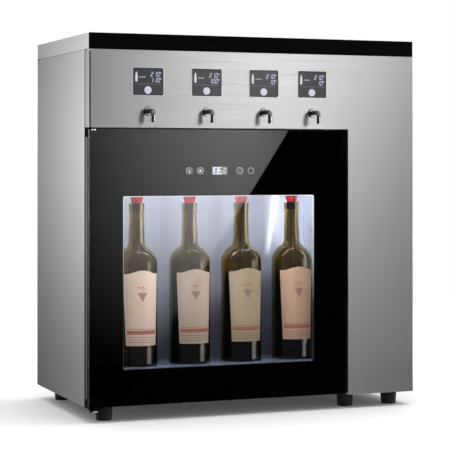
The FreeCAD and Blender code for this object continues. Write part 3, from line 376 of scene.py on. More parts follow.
def vary_colour(tree, shader, factor, colour, spread):
    """Lets the base colour vary by a share to both sides, with a noise as the factor."""
    factor = ramp(tree, factor, *NOISE_RANGE)
    varied = mix_colours(tree, factor, scaled(colour, 1 - spread), scaled(colour, 1 + spread))
    feed(tree, shader, {"Base Color": varied})


def vary_roughness(tree, shader, factor, low, high):
    feed(tree, shader, {"Roughness": ramp(tree, factor, *NOISE_RANGE, low, high)})


def add_bump(tree, shader, height, distance, strength=1.0):
    bump = tree.nodes.new("ShaderNodeBump")
    feed(tree, bump, {"Height": height, "Distance": distance, "Strength": strength})
    feed(tree, shader, {"Normal": bump.outputs[0]})


def brushed(name, colour, roughness, lines, tangent_axis, contrast=0.045, bump=0.22, spread=0.045):
    """Brushed metal: streaks along one axis; lines gives the fineness along x, y and z."""
    tree, shader = new_material(name, colour, roughness, 1.0)
    streaks = noise(tree, 1.0, lines, 4.0)
    cloud = noise(tree, 3.0, detail=2.0)
    both = link_math(tree, "ADD", product(tree, streaks, 0.8), product(tree, cloud, 0.2))
    vary_colour(tree, shader, both, colour, contrast)
    vary_roughness(tree, shader, streaks, roughness - spread, roughness + spread)
    add_bump(tree, shader, streaks, BRUSH_DEPTH, bump)
    tangent = tree.nodes.new("ShaderNodeTangent")
    tangent.direction_type = "RADIAL"
    tangent.axis = tangent_axis
    feed(tree, shader, {"Anisotropic": 0.7, "Tangent": tangent.outputs[0]})
    return tree, shader


def side_steel(name, share):
    """The finely brushed steel of the casing's sides."""
    lines = (2.5, 2.5, 2600)
    brushed(name, scaled(STEEL, share), 0.3, lines, "Y", contrast=0.01, bump=0.03, spread=0.015)


def satin(name, colour, roughness, lines, tangent_axis, metallic):
    """Sheet with faint lines and a dull share beside its mirror share."""
    tree, shader = brushed(name, colour, roughness, lines, tangent_axis, 0.05, bump=0.0, spread=0.012)
    feed(tree, shader, {"Metallic": metallic})
    return tree, shader


def cast_metal(name, colour, roughness, grain=900, bump=0.02, contrast=0.06):
    """Metal with a fine grain; bump is its height in millimetres."""
    tree, shader = new_material(name, colour, roughness, 1.0)
    grains = noise(tree, grain, detail=4.0)
    cloud = noise(tree, 14.0)
    vary_colour(tree, shader, cloud, colour, contrast)
    vary_roughness(tree, shader, cloud, roughness * (1 - 2 * contrast), roughness * (1 + 2 * contrast))
    add_bump(tree, shader, grains, bump * MM, 0.5)


def plastic(name, colour, roughness, grain=1400, bump=0.04, specular=0.5, spread=0.12):
    """Plastic, rubber or paint with a fine grain; bump is its height in millimetres."""
    tree, shader = new_material(name, colour, roughness)
    grains = noise(tree, grain)
    cloud = noise(tree, 9.0)
    vary_colour(tree, shader, cloud, colour, spread)
    vary_roughness(tree, shader, cloud, roughness * 0.85, min(1.0, roughness * 1.15))
    add_bump(tree, shader, grains, bump * MM, 0.4)
    feed(tree, shader, {"Specular IOR Level": specular})
    return tree, shader


def gloss(name, colour, roughness, specular):
    """Gloss print or a liquid, with faint smears in its roughness."""
    tree, shader = new_material(name, colour, roughness)
    smear = noise(tree, 6.0, (1, 1, 2.2), 5.0)
    vary_roughness(tree, shader, smear, roughness, roughness + 0.04)
    vary_colour(tree, shader, noise(tree, 700), colour, 0.1)
    feed(tree, shader, {"Specular IOR Level": specular})


def glass(name, colour, roughness=0.0, ior=1.45, cloud_spread=0.0):
    """Clear glass with faint smears, or wavy glass whose colour varies by a spread."""
    tree, shader = new_material(name, colour, roughness)
    feed(tree, shader, {"Transmission Weight": 1.0, "IOR": ior})
    if cloud_spread:
        vary_colour(tree, shader, noise(tree, 22.0), colour, cloud_spread)
        add_bump(tree, shader, noise(tree, 55.0, (1, 1, 0.35), 1.0), 0.4 * MM, 0.25)
    else:
        vary_roughness(tree, shader, noise(tree, 5.0, (1, 1, 2), 5.0), roughness, roughness + 0.012)


def lit(name, colour, strength, base=0.4):
    """A lamp, lit print or painted glint; base is the share of its colour that shows without light."""
    tree, shader = new_material(name, scaled(colour, base), 0.35)
    factor = ramp(tree, noise(tree, 900.0), *NOISE_RANGE)
    varied = mix_colours(tree, factor, scaled(colour, 0.94), colour)
    feed(tree, shader, {"Emission Color": varied, "Emission Strength": strength})


def pass_from(tree, shader, colour, factor):
    """Passes from a colour to the material's own varied colour with a factor."""
    own = shader.inputs["Base Color"].links[0].from_socket
    feed(tree, shader, {"Base Color": mix_colours(tree, factor, colour, own)})


def liner_steel():
    """The chamber's sheet, with painted shade towards its foot that reaches further up at the right."""
    tree, shader = satin("liner_steel", (0.66, 0.66, 0.72), 0.3, (70, 70, 2), "X", 0.5)
    axes = axes_of(tree)
    # painted shade: the sheet passes to a dark colour below a height that rises towards the right
    shade_rise = ramp(tree, axes["X"], -0.1, 0.1, 0.0, 0.09)
    height = link_math(tree, "SUBTRACT", axes["Z"], shade_rise)
    pass_from(tree, shader, (0.24, 0.24, 0.28), ramp(tree, height, 0.1, 0.2))


def bung_rubber():
    """Red rubber, dark olive below the bottle's mouth, where it sits inside the neck."""
    tree, shader = plastic("red_rubber", (0.33, 0.01, 0.02), 0.4, 500, 0.05, 0.45)
    in_air = ramp(tree, axes_of(tree)["Z"], MOUTH_Z - 1 * MM, MOUTH_Z)
    pass_from(tree, shader, (0.14, 0.12, 0.07), in_air)


def spacer_with_painted_glow():
    """Dark anodised spacer with a painted glow for the chamber's light on it, fainter towards its foot."""
    tree, shader = new_material("glazing_spacer", (0.05, 0.05, 0.055), 0.4, 0.6)
    vary_roughness(tree, shader, noise(tree, 300.0), 0.35, 0.45)
    # painted glow: emission that stands in for the chamber's light falling on the spacer
    low, high = DOOR_WINDOW.base + 90 * MM, DOOR_WINDOW.top + 10 * MM
    glow = ramp(tree, axes_of(tree)["Z"], low, high, 0.012, 0.9)
    feed(tree, shader, {"Emission Color": (0.93, 0.96, 1.0, 1), "Emission Strength": glow})


def make_casing_materials():
    brushed("fascia_brushed", scaled(STEEL, 1.2), 0.34, (5, 5, 2200), "X", 0.03, bump=0.1)
    side_steel("side_brushed", 0.9)
    # painted shade: the fascia's end cap gets a darker copy of the side steel
    side_steel("cap_steel_painted_shade", 0.56)
    brushed("lid_brushed", scaled(STEEL, 1.05), 0.34, (9, 9, 1500), "Y")
    gloss("strip_gloss", (0.0015, 0.0015, 0.0016), 0.5, 0.03)
    liner_steel()
    satin("tray_steel", (0.34, 0.36, 0.5), 0.26, (70, 2, 70), "Y", 0.6)
    cast_metal("zinc_sheet", (0.55, 0.56, 0.57), 0.45, bump=0.01, contrast=0.02)
    plastic("black_moulded", (0.022, 0.022, 0.024), 0.45)
    plastic("black_rubber", (0.018, 0.018, 0.018), 0.62, 700, 0.08, 0.35)
    plastic("cut_foam", (0.78, 0.74, 0.6), 0.95, 500, 0.4, 0.2, 0.06)
    lit("led_diffuser", (0.75, 0.83, 1.0), 6.0)
    # partly painted shade: the black of the edging also stands in for the shade in the gaps at the panel's
    # front
    plastic("edging_and_gap_shade", (0.004, 0.004, 0.004), 0.6, specular=0.1)
    cast_metal("chamber_screw", (0.2, 0.2, 0.22), 0.35)


def make_door_materials():
    glass("clear_pane", (0.97, 0.985, 0.98))
    gloss("bezel_print", (0.0008, 0.0008, 0.0009), 0.6, 0.0)
    spacer_with_painted_glow()
    cast_metal("door_anodised", (0.11, 0.11, 0.113), 0.42, 1200)
    plastic("hinge_moulded", (0.003, 0.003, 0.003), 0.7, specular=0.05)
    plastic("bracket_paint", (0.004, 0.004, 0.004), 0.65, specular=0.08)
    # painted glint: pale metal that glows, for the glints of the hinge pins and the bracket's lower edge
    lit("painted_glint", (0.9, 0.9, 0.9), 0.35, 0.9)
    lit("touch_print", (0.8, 0.8, 0.81), 1.0, 0.2)
    lit("touch_dim", (0.3, 0.3, 0.31), 0.9, 0.2)
    lit("touch_dot", WHITE, 1.7)
    lit("readout_lit", (0.8, 0.8, 0.92), 1.0)
    lit("readout_dim", (0.27, 0.27, 0.27), 0.75)
    lit("readout_figures", (0.1, 0.1, 0.12), 0.5)


def make_display_materials():
    plastic("display_window", (0.032, 0.032, 0.037), 0.2, 1400, 0.004, 0.26)
    cast_metal("display_rim", (0.8, 0.8, 0.81), 0.36)
    plastic("display_edge", (0.018, 0.018, 0.02), 0.3)
    lit("digit_lit", (0.62, 0.66, 0.95), 0.72)
    lit("icon_lit", (0.72, 0.74, 0.8), 0.5)
    lit("faint_print", (0.25, 0.25, 0.3), 0.35)
    lit("button_lit", (0.76, 0.79, 0.94), 0.43)
    # partly painted shade: the dark ring round each button also stands in for the shade beside it
    plastic("button_ring", (0.02, 0.02, 0.03), 0.25)
    cast_metal("chrome_plate", (0.52, 0.52, 0.53), 0.17, 300, 0.004)
    # partly painted shade: the black seal ring also stands in for the shade round each spout's collar
    plastic("spout_seal_and_shade", (0.012, 0.012, 0.013), 0.5, specular=0.3)
    cast_metal("collar_step", (0.3, 0.3, 0.31), 0.3)


def make_bottle_materials():
    glass("bottle_green", (0.33, 0.24, 0.06), 0.02, 1.5, 0.1)
    gloss("wine", (0.012, 0.003, 0.004), 0.03, 0.3)
    bung_rubber()
    satin("satin_tube", (0.72, 0.7, 0.64), 0.5, (40, 40, 4), "X", 0.3)
    plastic("label_ink", (0.26, 0.16, 0.13), 0.7, 900, 0.01, 0.2)
    plastic("label_band", (0.36, 0.13, 0.09), 0.7, 900, 0.01, 0.2)
    for n, colour in enumerate(PAPERS, 1):
        plastic(f"label_paper_{n}", colour, 0.75, 420, 0.06, 0.25, 0.09)


def make_inner_materials():
    cast_metal("plain_steel", (0.55, 0.55, 0.55), 0.3)
    cast_metal("bare_aluminium", (0.62, 0.62, 0.63), 0.35, 500)
    plastic("cell_ceramic", (0.82, 0.82, 0.8), 0.4, 500)
    plastic("milky_tube", (0.75, 0.75, 0.72), 0.4, 300, 0.03)
    cast_metal("machined_brass", (0.66, 0.5, 0.24), 0.3, 700)
    plastic("gas_paint", (0.24, 0.36, 0.3), 0.35, 260, 0.05)
    plastic("board_green", (0.03, 0.15, 0.06), 0.4, 300, 0.05)
    cast_metal("psu_case", (0.5, 0.5, 0.5), 0.4, 300)


def each(name):
    return " ".join(f"{name}_{n}" for n in NUMBERS)


CAD_FINISH = {
    "fascia_brushed": "front_fascia",
    "side_brushed": "side_panel_left side_panel_right",
    "cap_steel_painted_shade": "fascia_end_cap",
    "lid_brushed": "top_lid",
    "strip_gloss": "lid_front_strip",
    "liner_steel": "liner",
    "tray_steel": "bottle_tray",
    "zinc_sheet": "rear_panel base_pan valve_shelf case_screws",
    "black_moulded": "front_frame fan_frame fan_rotor power_inlet dispense_heads",
    "black_rubber": "feet door_gasket",
    "cut_foam": "insulation",
    "led_diffuser": "light_bar",
    "clear_pane": "door_glass door_inner_glass",
    "bezel_print": "door_bezel",
    "door_anodised": "door_frame",
    "hinge_moulded": "door_hinge_blocks",
    "bracket_paint": "hinge_brackets",
    "display_window": each("display"),
    "button_lit": each("button"),
    "chrome_plate": each("spout"),
    "bottle_green": each("bottle"),
    "red_rubber": "bottle_stoppers",
    "satin_tube": "dip_tubes",
    "plain_steel": "spout_nuts",
    "bare_aluminium": "cold_plate heat_sink",
    "cell_ceramic": "thermoelectric_cells",
    "milky_tube": "wine_lines gas_lines",
    "machined_brass": "wine_valves gas_manifold gas_regulator",
    "gas_paint": "gas_cylinder",
    "board_green": "switch_board main_board door_control_module",
    "psu_case": "power_supply",
}

EDGE_RADIUS = {     # in millimetres
    0.2: "door_bezel",
    0.3: "door_glass hinge_brackets rear_panel",
    0.4: "base_pan power_inlet",
    0.5: "side_panel_left side_panel_right fascia_end_cap door_frame front_frame case_screws",
    0.6: "lid_front_strip front_fascia door_hinge_blocks light_bar",
    0.8: "top_lid",
    1.0: "feet door_gasket",
}


def paint_cad_nodes():
    for finish, names in CAD_FINISH.items():
        for name in names.split():
            for place in nodes[name].material_slots:
                place.material = MATERIALS[finish]


def round_cad_edges():
    """Small bevels on the CAD meshes, whose flat faces are joined first."""
    sizes = [(nodes[name], radius * MM) for radius, names in EDGE_RADIUS.items() for name in names.split()]
    for node, width in sizes:
        weld = node.modifiers.new("weld", "WELD")
        weld.merge_threshold = 0.01 * MM
        flat = node.modifiers.new("flat", "DECIMATE")
        flat.decimate_type = "DISSOLVE"
        flat.angle_limit = math.radians(0.5)
        bevel(node, width)
        even = node.modifiers.new("normals", "WEIGHTED_NORMAL")
        even.keep_sharp = False
        even.weight = 100


# ------ lights

COOL_LIGHT = (0.78, 0.85, 1.0)
WARM_LIGHT = (1.0, 0.93, 0.84)


def area_light(name, at, towards, width, height, power, colour=WHITE):
    """A rectangular lamp that the camera doesn't see."""
    data = bpy.data.lights.new(name, "AREA")
    data.shape = "RECTANGLE"
    data.size = width
    data.size_y = height
    data.energy = power
    data.color = colour
    light = bpy.data.objects.new(name, data)
    light.rotation_mode = "QUATERNION"
    light.rotation_quaternion = (Vector(towards) - Vector(at)).to_track_quat("-Z", "Y")
    light.location = at
    light.visible_camera = False
    bpy.context.scene.collection.objects.link(light)
    return light


def gloss_only(light):
    light.visible_diffuse = False
    light.visible_transmission = False


def facing_front(y, x0, x1, z0, z1):
    return [(x0, y, z0), (x1, y, z0), (x1, y, z1), (x0, y, z1)]


def facing_side(x, y0, y1, z0, z1):
    return [(x, y0, z0), (x, y1, z0), (x, y1, z1), (x, y0, z1)]


def ramps(*rows):
    """A card's levels as a product of ramps: an axis, two places on it and the levels there."""
    def levels(tree, axes):
        return product(tree, *[ramp(tree, axes[axis], *limits) for axis, *limits in rows])
    return levels


def make_card(name, corners, levels, colour=WHITE):
    """A flat light that the camera doesn't see; levels(tree, axes) gives its strength."""
    card = add_sheet(name, corners)
    material = bpy.data.materials.new(name)
    material.use_nodes = True
    tree = material.node_tree
    tree.nodes.clear()
    emission = tree.nodes.new("ShaderNodeEmission")
    feed(tree, emission, {"Color": (*colour, 1), "Strength": levels(tree, axes_of(tree))})
    output = tree.nodes.new("ShaderNodeOutputMaterial")
    tree.links.new(emission.outputs[0], output.inputs[0])
    card.data.materials.append(material)
    card.visible_camera = False
    card.visible_shadow = False
    return card


def tint_across(card, low, high, left, right):
    """Lets a card's colour pass from one to another along x."""
    tree = card.data.materials[0].node_tree
    factor = ramp(tree, axes_of(tree)["X"], low, high)
    feed(tree, tree.nodes["Emission"], {"Color": mix_colours(tree, factor, left, right)})


# The large soft light in front of the object; its first two corners bound the slanted edge in the door
BOX_Y = -3.155
BOX_CORNERS = [(0.7385, -0.4), (1.387, 0.58), (3.2, 1.05), (3.2, 2.4), (-0.4, 2.4), (-0.4, -0.4)]
BOX_BEND = 0.58  # height above which its bands lean outwards
BOX_LEAN_IN, BOX_LEAN_OUT = 1.2, 0.6
BOX_LEVEL = 2.26


def box_levels(tree, axes):
    """Brightest in a band beside the slanted edge, and at the height of the fascia."""
    high = link_math(tree, "MAXIMUM", link_math(tree, "SUBTRACT", axes["Z"], BOX_BEND), 0.0)
    inner = link_math(tree, "SUBTRACT", axes["X"], product(tree, high, BOX_LEAN_IN))
    outer = link_math(tree, "SUBTRACT", axes["X"], product(tree, high, BOX_LEAN_OUT))
    across = ramp(tree, inner, 0.31, 1.28, 0.02, 1.0)
    beyond = ramp(tree, outer, 1.14, 1.66, 1.0, 0.02)
    stronger = ramp(tree, axes["Z"], 0.56, 0.62, 1.0, 3.4)
    upward = ramp(tree, axes["Z"], -0.35, 0.78)
    return product(tree, across, beyond, stronger, upward, BOX_LEVEL)


def make_side_card():
    """Behind the object at the left, for the sheen of the left side panel."""
    levels = ramps(("Z", -0.1, 0.5, 0.3, 1.22), ("Z", 0.55, 0.72, 1.0, 0.77), ("X", -0.95, -0.56, 2.2, 0.12))
    card = make_card("side_card", facing_front(1.2, -1.7, -0.5, -0.5, 0.9), levels)
    card.visible_diffuse = False


GLOW_GAP = 18 * MM  # from the chamber's mouth to the glow in front of it
GLOW_LEVEL = 0.54


def make_chamber_glow():
    """Soft light into the chamber from its mouth, cooler at the right."""
    corners = facing_front(LINER_LOW.y - GLOW_GAP, LINER_LOW.x, LINER_HIGH.x, LINER_LOW.z, LINER_HIGH.z)
    card = make_card("chamber_glow", corners, ramps(("Z", 0.04, 0.42, 0.22 * GLOW_LEVEL, GLOW_LEVEL)))
    tint_across(card, -0.2, 0.1, (0.92, 0.9, 1.0), (0.72, 0.8, 1.0))
    card.visible_transmission = False


BEAM_GAP = 30 * MM  # from the chamber's back wall to its card
BEAM_TOP = (0.126, 0.43)  # x and z of the slanted beam's ends
BEAM_FOOT = (0.094, 0.24)
BEAM_TOP_HALF, BEAM_FOOT_HALF = 6.5 * MM, 1 * MM
BEAM_LEVEL = 8.0


def make_chamber_beam():
    """The slanted beam on the chamber's back wall, wider towards its top."""
    y = LINER_HIGH.y - BEAM_GAP
    (top_x, top_z), (foot_x, foot_z) = BEAM_TOP, BEAM_FOOT
    corners = [
        (foot_x - BEAM_FOOT_HALF, y, foot_z), (foot_x + BEAM_FOOT_HALF, y, foot_z),
        (top_x + BEAM_TOP_HALF, y, top_z), (top_x - BEAM_TOP_HALF, y, top_z),
    ]
    levels = ramps(("Z", foot_z, top_z - 0.08, 0.15 * BEAM_LEVEL, BEAM_LEVEL))
    gloss_only(make_card("chamber_beam", corners, levels, (0.86, 0.9, 1.0)))


STRIP_X = 2.6  # tall light at the right, for glints of glass and chrome
STRIP_NEAR, STRIP_FAR = -2.35, -1.15
STRIP_BASE, STRIP_TOP = -0.7, 1.6
STRIP_FADE = 0.35  # from its upright edges inwards
STRIP_LEVEL = 5.0


def make_right_strip():
    corners = facing_side(STRIP_X, STRIP_NEAR, STRIP_FAR, STRIP_BASE, STRIP_TOP)
    levels = ramps(
        ("Y", STRIP_NEAR, STRIP_NEAR + STRIP_FADE, 0.0, STRIP_LEVEL),
        ("Y", STRIP_FAR - STRIP_FADE, STRIP_FAR, 1.0, 0.0),
    )
    card = make_card("right_strip", corners, levels, (1.0, 0.92, 0.76))
    card.visible_diffuse = False


GLINT_GAP = 5 * MM  # from the chamber's right wall to its card


def make_chamber_glint():
    corners = facing_side(LINER_HIGH.x - GLINT_GAP, -0.106, -0.094, 0.11, 0.36)
    gloss_only(make_card("chamber_side", corners, ramps(("Z", 0.1, 0.3, 3.0, 5.0))))


def make_studio_lamps():
    middle = (0, 0, 0.3)
    top = area_light("top_soft", (0.2, -0.3, 2.6), middle, 2.4, 2.0, 45)
    top.visible_glossy = False
    gloss_only(area_light("rear_soft", (1.1, 2.6, 1.2), middle, 2.2, 1.6, 60))
    gloss_only(area_light("right_soft", (2.7, 0.75, 0.9), (0, 0.1, 0.3), 1.1, 1.6, 30))


def make_chamber_lamps():
    """The light bar's light, soft light from the window, and a lamp over the right-hand bottles."""
    middle = middle_of("light_bar")
    under = Vector((middle.x, middle.y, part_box("light_bar")[0].z - 3 * MM))
    area_light("chamber_strip", under, under + Vector((0, 0.18, -0.5)), 0.37, 0.006, 2.5, COOL_LIGHT)
    mouth = Vector((middle.x, -0.122, 0.27))
    front = area_light("chamber_front", mouth, mouth + Vector((0, 1, 0)), 0.42, 0.3, 0.34, WARM_LIGHT)
    front.visible_glossy = False
    front.visible_transmission = False
    over = Vector((0.125, -0.06, 0.45))
    lamp = area_light("chamber_lamp", over, over + Vector((-0.01, 0.07, -0.1)), 0.03, 0.012, 0.9, COOL_LIGHT)
    lamp.visible_transmission = False


LAMP_OUT = 46 * MM  # from a bottle's axis, along x
LAMP_Y = -0.11
LAMP_AIM = Vector((-0.82, 0.57, 0))
LAMP_SPREAD = math.radians(46)
LAMP_COLOUR = (1.0, 0.93, 0.82)
BOTTLE_LAMPS = [  # part of the bottle, height of the lamp's middle, width, height, level
    ("body", 0.235, 0.03, 0.3, 0.83),
    ("neck", 0.345, 0.05, 0.08, 1.7),
]


def make_bottle_lamps(n):
    """Lamps that only gloss sees, for the streaks on the right of a bottle's body and neck."""
    x = middle_of(f"bottle_{n}").x + LAMP_OUT
    for part, z, width, height, level in BOTTLE_LAMPS:
        at = Vector((x, LAMP_Y, z))
        power = level * width * height
        lamp = area_light(f"{part}_lamp_{n}", at, at + LAMP_AIM, width, height, power, LAMP_COLOUR)
        lamp.data.spread = LAMP_SPREAD
        gloss_only(lamp)


# ------ bottles: wine and labels

BOTTLE_LOW, BOTTLE_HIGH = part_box("bottle_1")
BOTTLE_R = (BOTTLE_HIGH.x - BOTTLE_LOW.x) / 2
GLASS_WALL = 3.0 * MM
WINE_GAP = 0.1 * MM
WINE_R = BOTTLE_R - GLASS_WALL - WINE_GAP
WINE_TOP = 157 * MM  # above the bottle's foot
WINE_FOOT = 22 * MM  # over the bottle's punt

# Angles in degrees from the label's middle to its sides, which lean outwards
LABEL_HALF_LOW = 46.5
LABEL_HALF_HIGH = 56.5
LABEL_TURN = -2
LABEL_FOOT = 38 * MM
LABEL_TOP = 164.5 * MM
LABEL_ARCH = 6.5 * MM  # rise of its top in the middle
LABEL_ARCH_SHARE = 0.86  # of its half width, where the arch ends
LABEL_T = 0.15 * MM
INK_LOW, INK_HIGH = LABEL_T + 0.01 * MM, LABEL_T + 0.05 * MM

# Generic print; shares of the label's half width and height
LINES = ((0.228, 0.236), (0.112, 0.119), (0.078, 0.085), (0.044, 0.051))
LINE_HALF = 0.86
BAND = (-0.9, 0.9, 0.158, 0.212)
BERRY_R = 1.9 * MM
BERRY_ROWS = (4, 3, 2, 1)
BERRY_TOP, BERRY_DROP, BERRY_STEP = 0.72, 0.028, 0.112
STEM = (-0.012, 0.012, 0.74, 0.78)
LEAF_R, LEAF_SQUASH, LEAF_OUT, LEAF_UP = 5.0 * MM, 0.42, 0.1, 0.80


def bottle_foot(n):
    """The middle of a bottle's foot."""
    middle = middle_of(f"bottle_{n}")
    return Vector((middle.x, middle.y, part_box(f"bottle_{n}")[0].z))


def make_wine(n):
    """The wine, from the bottle's punt to a level below its shoulder."""
    foot = bottle_foot(n)
    profile = [
        (0, WINE_FOOT), (WINE_R * 0.6, WINE_FOOT), (WINE_R - 4 * MM, 8.5 * MM), (WINE_R - 1 * MM, 7.8 * MM),
        (WINE_R, 10.5 * MM), (WINE_R, WINE_TOP + 0.4 * MM), (WINE_R - 0.8 * MM, WINE_TOP), (0, WINE_TOP),
    ]
    mesh = bmesh.new()
    lathe(mesh, profile, *foot)
    add_piece(f"wine_{n}", mesh, "wine", smooth_to=50)


def label_point(foot, s, h, lift):
    """A point of the label: s from -1 to 1 across, h from 0 to 1 upwards, lift off the glass."""
    half = LABEL_HALF_LOW + (LABEL_HALF_HIGH - LABEL_HALF_LOW) * h
    angle = math.radians(-90 + LABEL_TURN + s * half)
    arch = LABEL_ARCH * 0.5 * (1 + math.cos(math.pi * min(1.0, abs(s) / LABEL_ARCH_SHARE)))
    height = LABEL_FOOT + (LABEL_TOP - LABEL_FOOT) * h + arch * h ** 6
    radius = BOTTLE_R + lift
    return (foot.x + radius * math.cos(angle), foot.y + radius * math.sin(angle), foot.z + height)


def label_patch(mesh, foot, corners, low, high, steps):
    """A closed patch on the bottle between two lifts; corners are s0, s1, h0, h1."""
    s0, s1, h0, h1 = corners
    across, upward = steps
    layers = []
    for lift in (low, high):
        grid = []
        for j in range(upward + 1):
            h = h0 + (h1 - h0) * j / upward
            line = [label_point(foot, s0 + (s1 - s0) * i / across, h, lift) for i in range(across + 1)]
            grid.append([mesh.verts.new(point) for point in line])
        layers.append(grid)
    close_grid(mesh, *layers)


def close_grid(mesh, inner, outer):
    """The faces of a closed sheet between two grids of the same size."""
    upward, across = len(inner) - 1, len(inner[0]) - 1
    for j in range(upward):
        for i in range(across):
            mesh.faces.new([outer[j][i], outer[j][i + 1], outer[j + 1][i + 1], outer[j + 1][i]])
            mesh.faces.new([inner[j][i], inner[j + 1][i], inner[j + 1][i + 1], inner[j][i + 1]])
    for j in range(upward):
        for i in (0, across):
            mesh.faces.new([inner[j][i], outer[j][i], outer[j + 1][i], inner[j + 1][i]])
    for i in range(across):
        for j in (0, upward):
            mesh.faces.new([inner[j][i], inner[j][i + 1], outer[j][i + 1], outer[j][i]])


def label_disc(mesh, foot, s, h, radius, squash=1.0, count=14):
    """A small round of print on the bottle; squash is its height as a share of its width."""
    half_width = math.radians((LABEL_HALF_LOW + LABEL_HALF_HIGH) / 2) * BOTTLE_R
    across, upward = radius / half_width, radius * squash / (LABEL_TOP - LABEL_FOOT)
    turns = [2 * math.pi * k / count for k in range(count)]
    places = [(s + across * math.cos(turn), h + upward * math.sin(turn)) for turn in turns]
    inner, outer = [
        [mesh.verts.new(label_point(foot, *place, lift)) for place in places] for lift in (INK_LOW, INK_HIGH)
    ]
    mesh.faces.new(outer)
    mesh.faces.new(list(reversed(inner)))
    for k in range(count):
        after = (k + 1) % count
        mesh.faces.new([inner[k], inner[after], outer[after], outer[k]])


def make_label_paper(n):
    mesh = bmesh.new()
    label_patch(mesh, bottle_foot(n), (-1, 1, 0, 1), AIR, LABEL_T, (56, 24))
    add_piece(f"label_{n}", mesh, f"label_paper_{n}", smooth_to=40)


def make_label_print(n):
    """Four lines and a bunch of grapes."""
    foot = bottle_foot(n)
    mesh = bmesh.new()
    for base, top in LINES:
        label_patch(mesh, foot, (-LINE_HALF, LINE_HALF, base, top), INK_LOW, INK_HIGH, (30, 1))
    for row, count in enumerate(BERRY_ROWS):
        for k in range(count):
            s = (k - (count - 1) / 2) * BERRY_STEP
            label_disc(mesh, foot, s, BERRY_TOP - row * BERRY_DROP, BERRY_R)
    label_patch(mesh, foot, STEM, INK_LOW, INK_HIGH, (2, 2))
    add_piece(f"label_print_{n}", mesh, "label_ink", smooth_to=40)


def make_label_band(n):
    """The coloured band and the two leaves."""
    foot = bottle_foot(n)
    mesh = bmesh.new()
    label_patch(mesh, foot, BAND, INK_LOW, INK_HIGH, (40, 1))
    for side in (-1, 1):
        label_disc(mesh, foot, side * LEAF_OUT, LEAF_UP, LEAF_R, LEAF_SQUASH, 20)
    add_piece(f"label_band_{n}", mesh, "label_band", smooth_to=40)


# ------ figures

SEGMENTS = {"0": "abcdef", "1": "bc", "2": "abged"}
Digit = namedtuple("Digit", "width height bar slant")


def flat_bar(x0, x1, z, half):
    tip = half * 0.6
    return [(x0 - tip, z), (x0, z - half), (x1, z - half), (x1 + tip, z), (x1, z + half), (x0, z + half)]


def upright_bar(x, z0, z1, half):
    left, right, low, high = x - half, x + half, z0 + half, z1 - half
    return [(x, z0), (right, low), (right, high), (x, z1), (left, high), (left, low)]


def digit_outlines(figure, x, top, digit):
    """The bars of a seven-bar figure; x is its left side and top its upper edge."""
    half, gap = digit.bar / 2, digit.bar * 0.12
    mid, low = top - digit.height / 2, top - digit.height
    left, right = x + half, x + digit.width - half
    bars = {}
    for name, z in (("a", top - half), ("g", mid), ("d", low + half)):
        bars[name] = flat_bar(left + gap, right - gap, z, half)
    for name, side in (("f", left), ("b", right)):
        bars[name] = upright_bar(side, mid + gap, top - gap, half)
    for name, side in (("e", left), ("c", right)):
        bars[name] = upright_bar(side, low + gap, mid - gap, half)
    return [[(px + digit.slant * (pz - low), pz) for px, pz in bars[name]] for name in SEGMENTS[figure]]


# ------ displays

DISPLAY_W = 55.5 * MM
DISPLAY_H = 47.5 * MM
DISPLAY_TOP_Z = 609.8 * MM
PRINT_T = 0.1 * MM  # of the lit print on a display
FAINT_T = 0.06 * MM  # of the dark edge and the faint line
RIM_W = 1.5 * MM
RIM_OUT = 0.45 * MM  # in front of the fascia
CORNER_R = 1.6 * MM

FIRST_ROW = "210"
SECOND_ROWS = ["110", "100", "10", "10"]
DISPLAY_DIGIT = Digit(4.3 * MM, 7.8 * MM, 0.78 * MM, 0.12)
DIGIT_STEP = 5.9 * MM
LAST_DIGIT_X = 11.4 * MM  # its left side, from the window's right side
ROW_TOP = 7.2 * MM  # from the window's top
ROW_STEP = 10.0 * MM
DOT_X, DOT_Z, DOT_R = 4.7 * MM, 1.4 * MM, 1.0 * MM  # from the window's right side and the row's top

# Symbols, in millimetres from the bottle symbol's axis and the window's top
ICON_X = 6.7 * MM
ICON_BOTTLE = [
    (-2.1, -24), (2.1, -24), (2.1, -12), (1.1, -9.4), (1.1, -7), (-1.1, -7), (-1.1, -9.4), (-2.1, -12),
]
ICON_DASHES = [(5.2, 8.6), (9.4, 12.6), (13.4, 16.4)]
DASH_BASE, DASH_TOP = -16.6 * MM, -15.4 * MM

LINE_LEFT, LINE_RIGHT = 4 * MM, 4.5 * MM  # gaps to the window's sides
LINE_BASE, LINE_TOP = -28.4 * MM, -27.8 * MM  # from the window's top
BUTTON_RING_R, BUTTON_RING_HOLE = 8.2 * MM, 6.7 * MM
BUTTON_RING_OUT = 0.35 * MM


def display_window(n):
    x = middle_of(f"display_{n}").x
    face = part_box(f"display_{n}")[0].y
    return Opening(x - DISPLAY_W / 2, x + DISPLAY_W / 2, DISPLAY_TOP_Z - DISPLAY_H, DISPLAY_TOP_Z, face)


def make_display_rim(n, window):
    outer = inset_outline(window, -RIM_W, -RIM_W, 2.5 * MM)
    inner = inset_outline(window, 0.05 * MM, 0.05 * MM, CORNER_R)
    near, far = FRONT - RIM_OUT, FRONT - AIR
    add_frame(f"display_rim_{n}", (outer, inner), near, far, "display_rim", "plain_steel", edge=0.3 * MM)


def make_display_edge(n, window, back):
    outer = inset_outline(window, 0.1 * MM, 0.1 * MM, CORNER_R)
    inner = inset_outline(window, 2.2 * MM, 1.6 * MM, 1.2 * MM)
    add_frame(f"display_edge_{n}", (outer, inner), back - FAINT_T, back, "display_edge", "display_black")


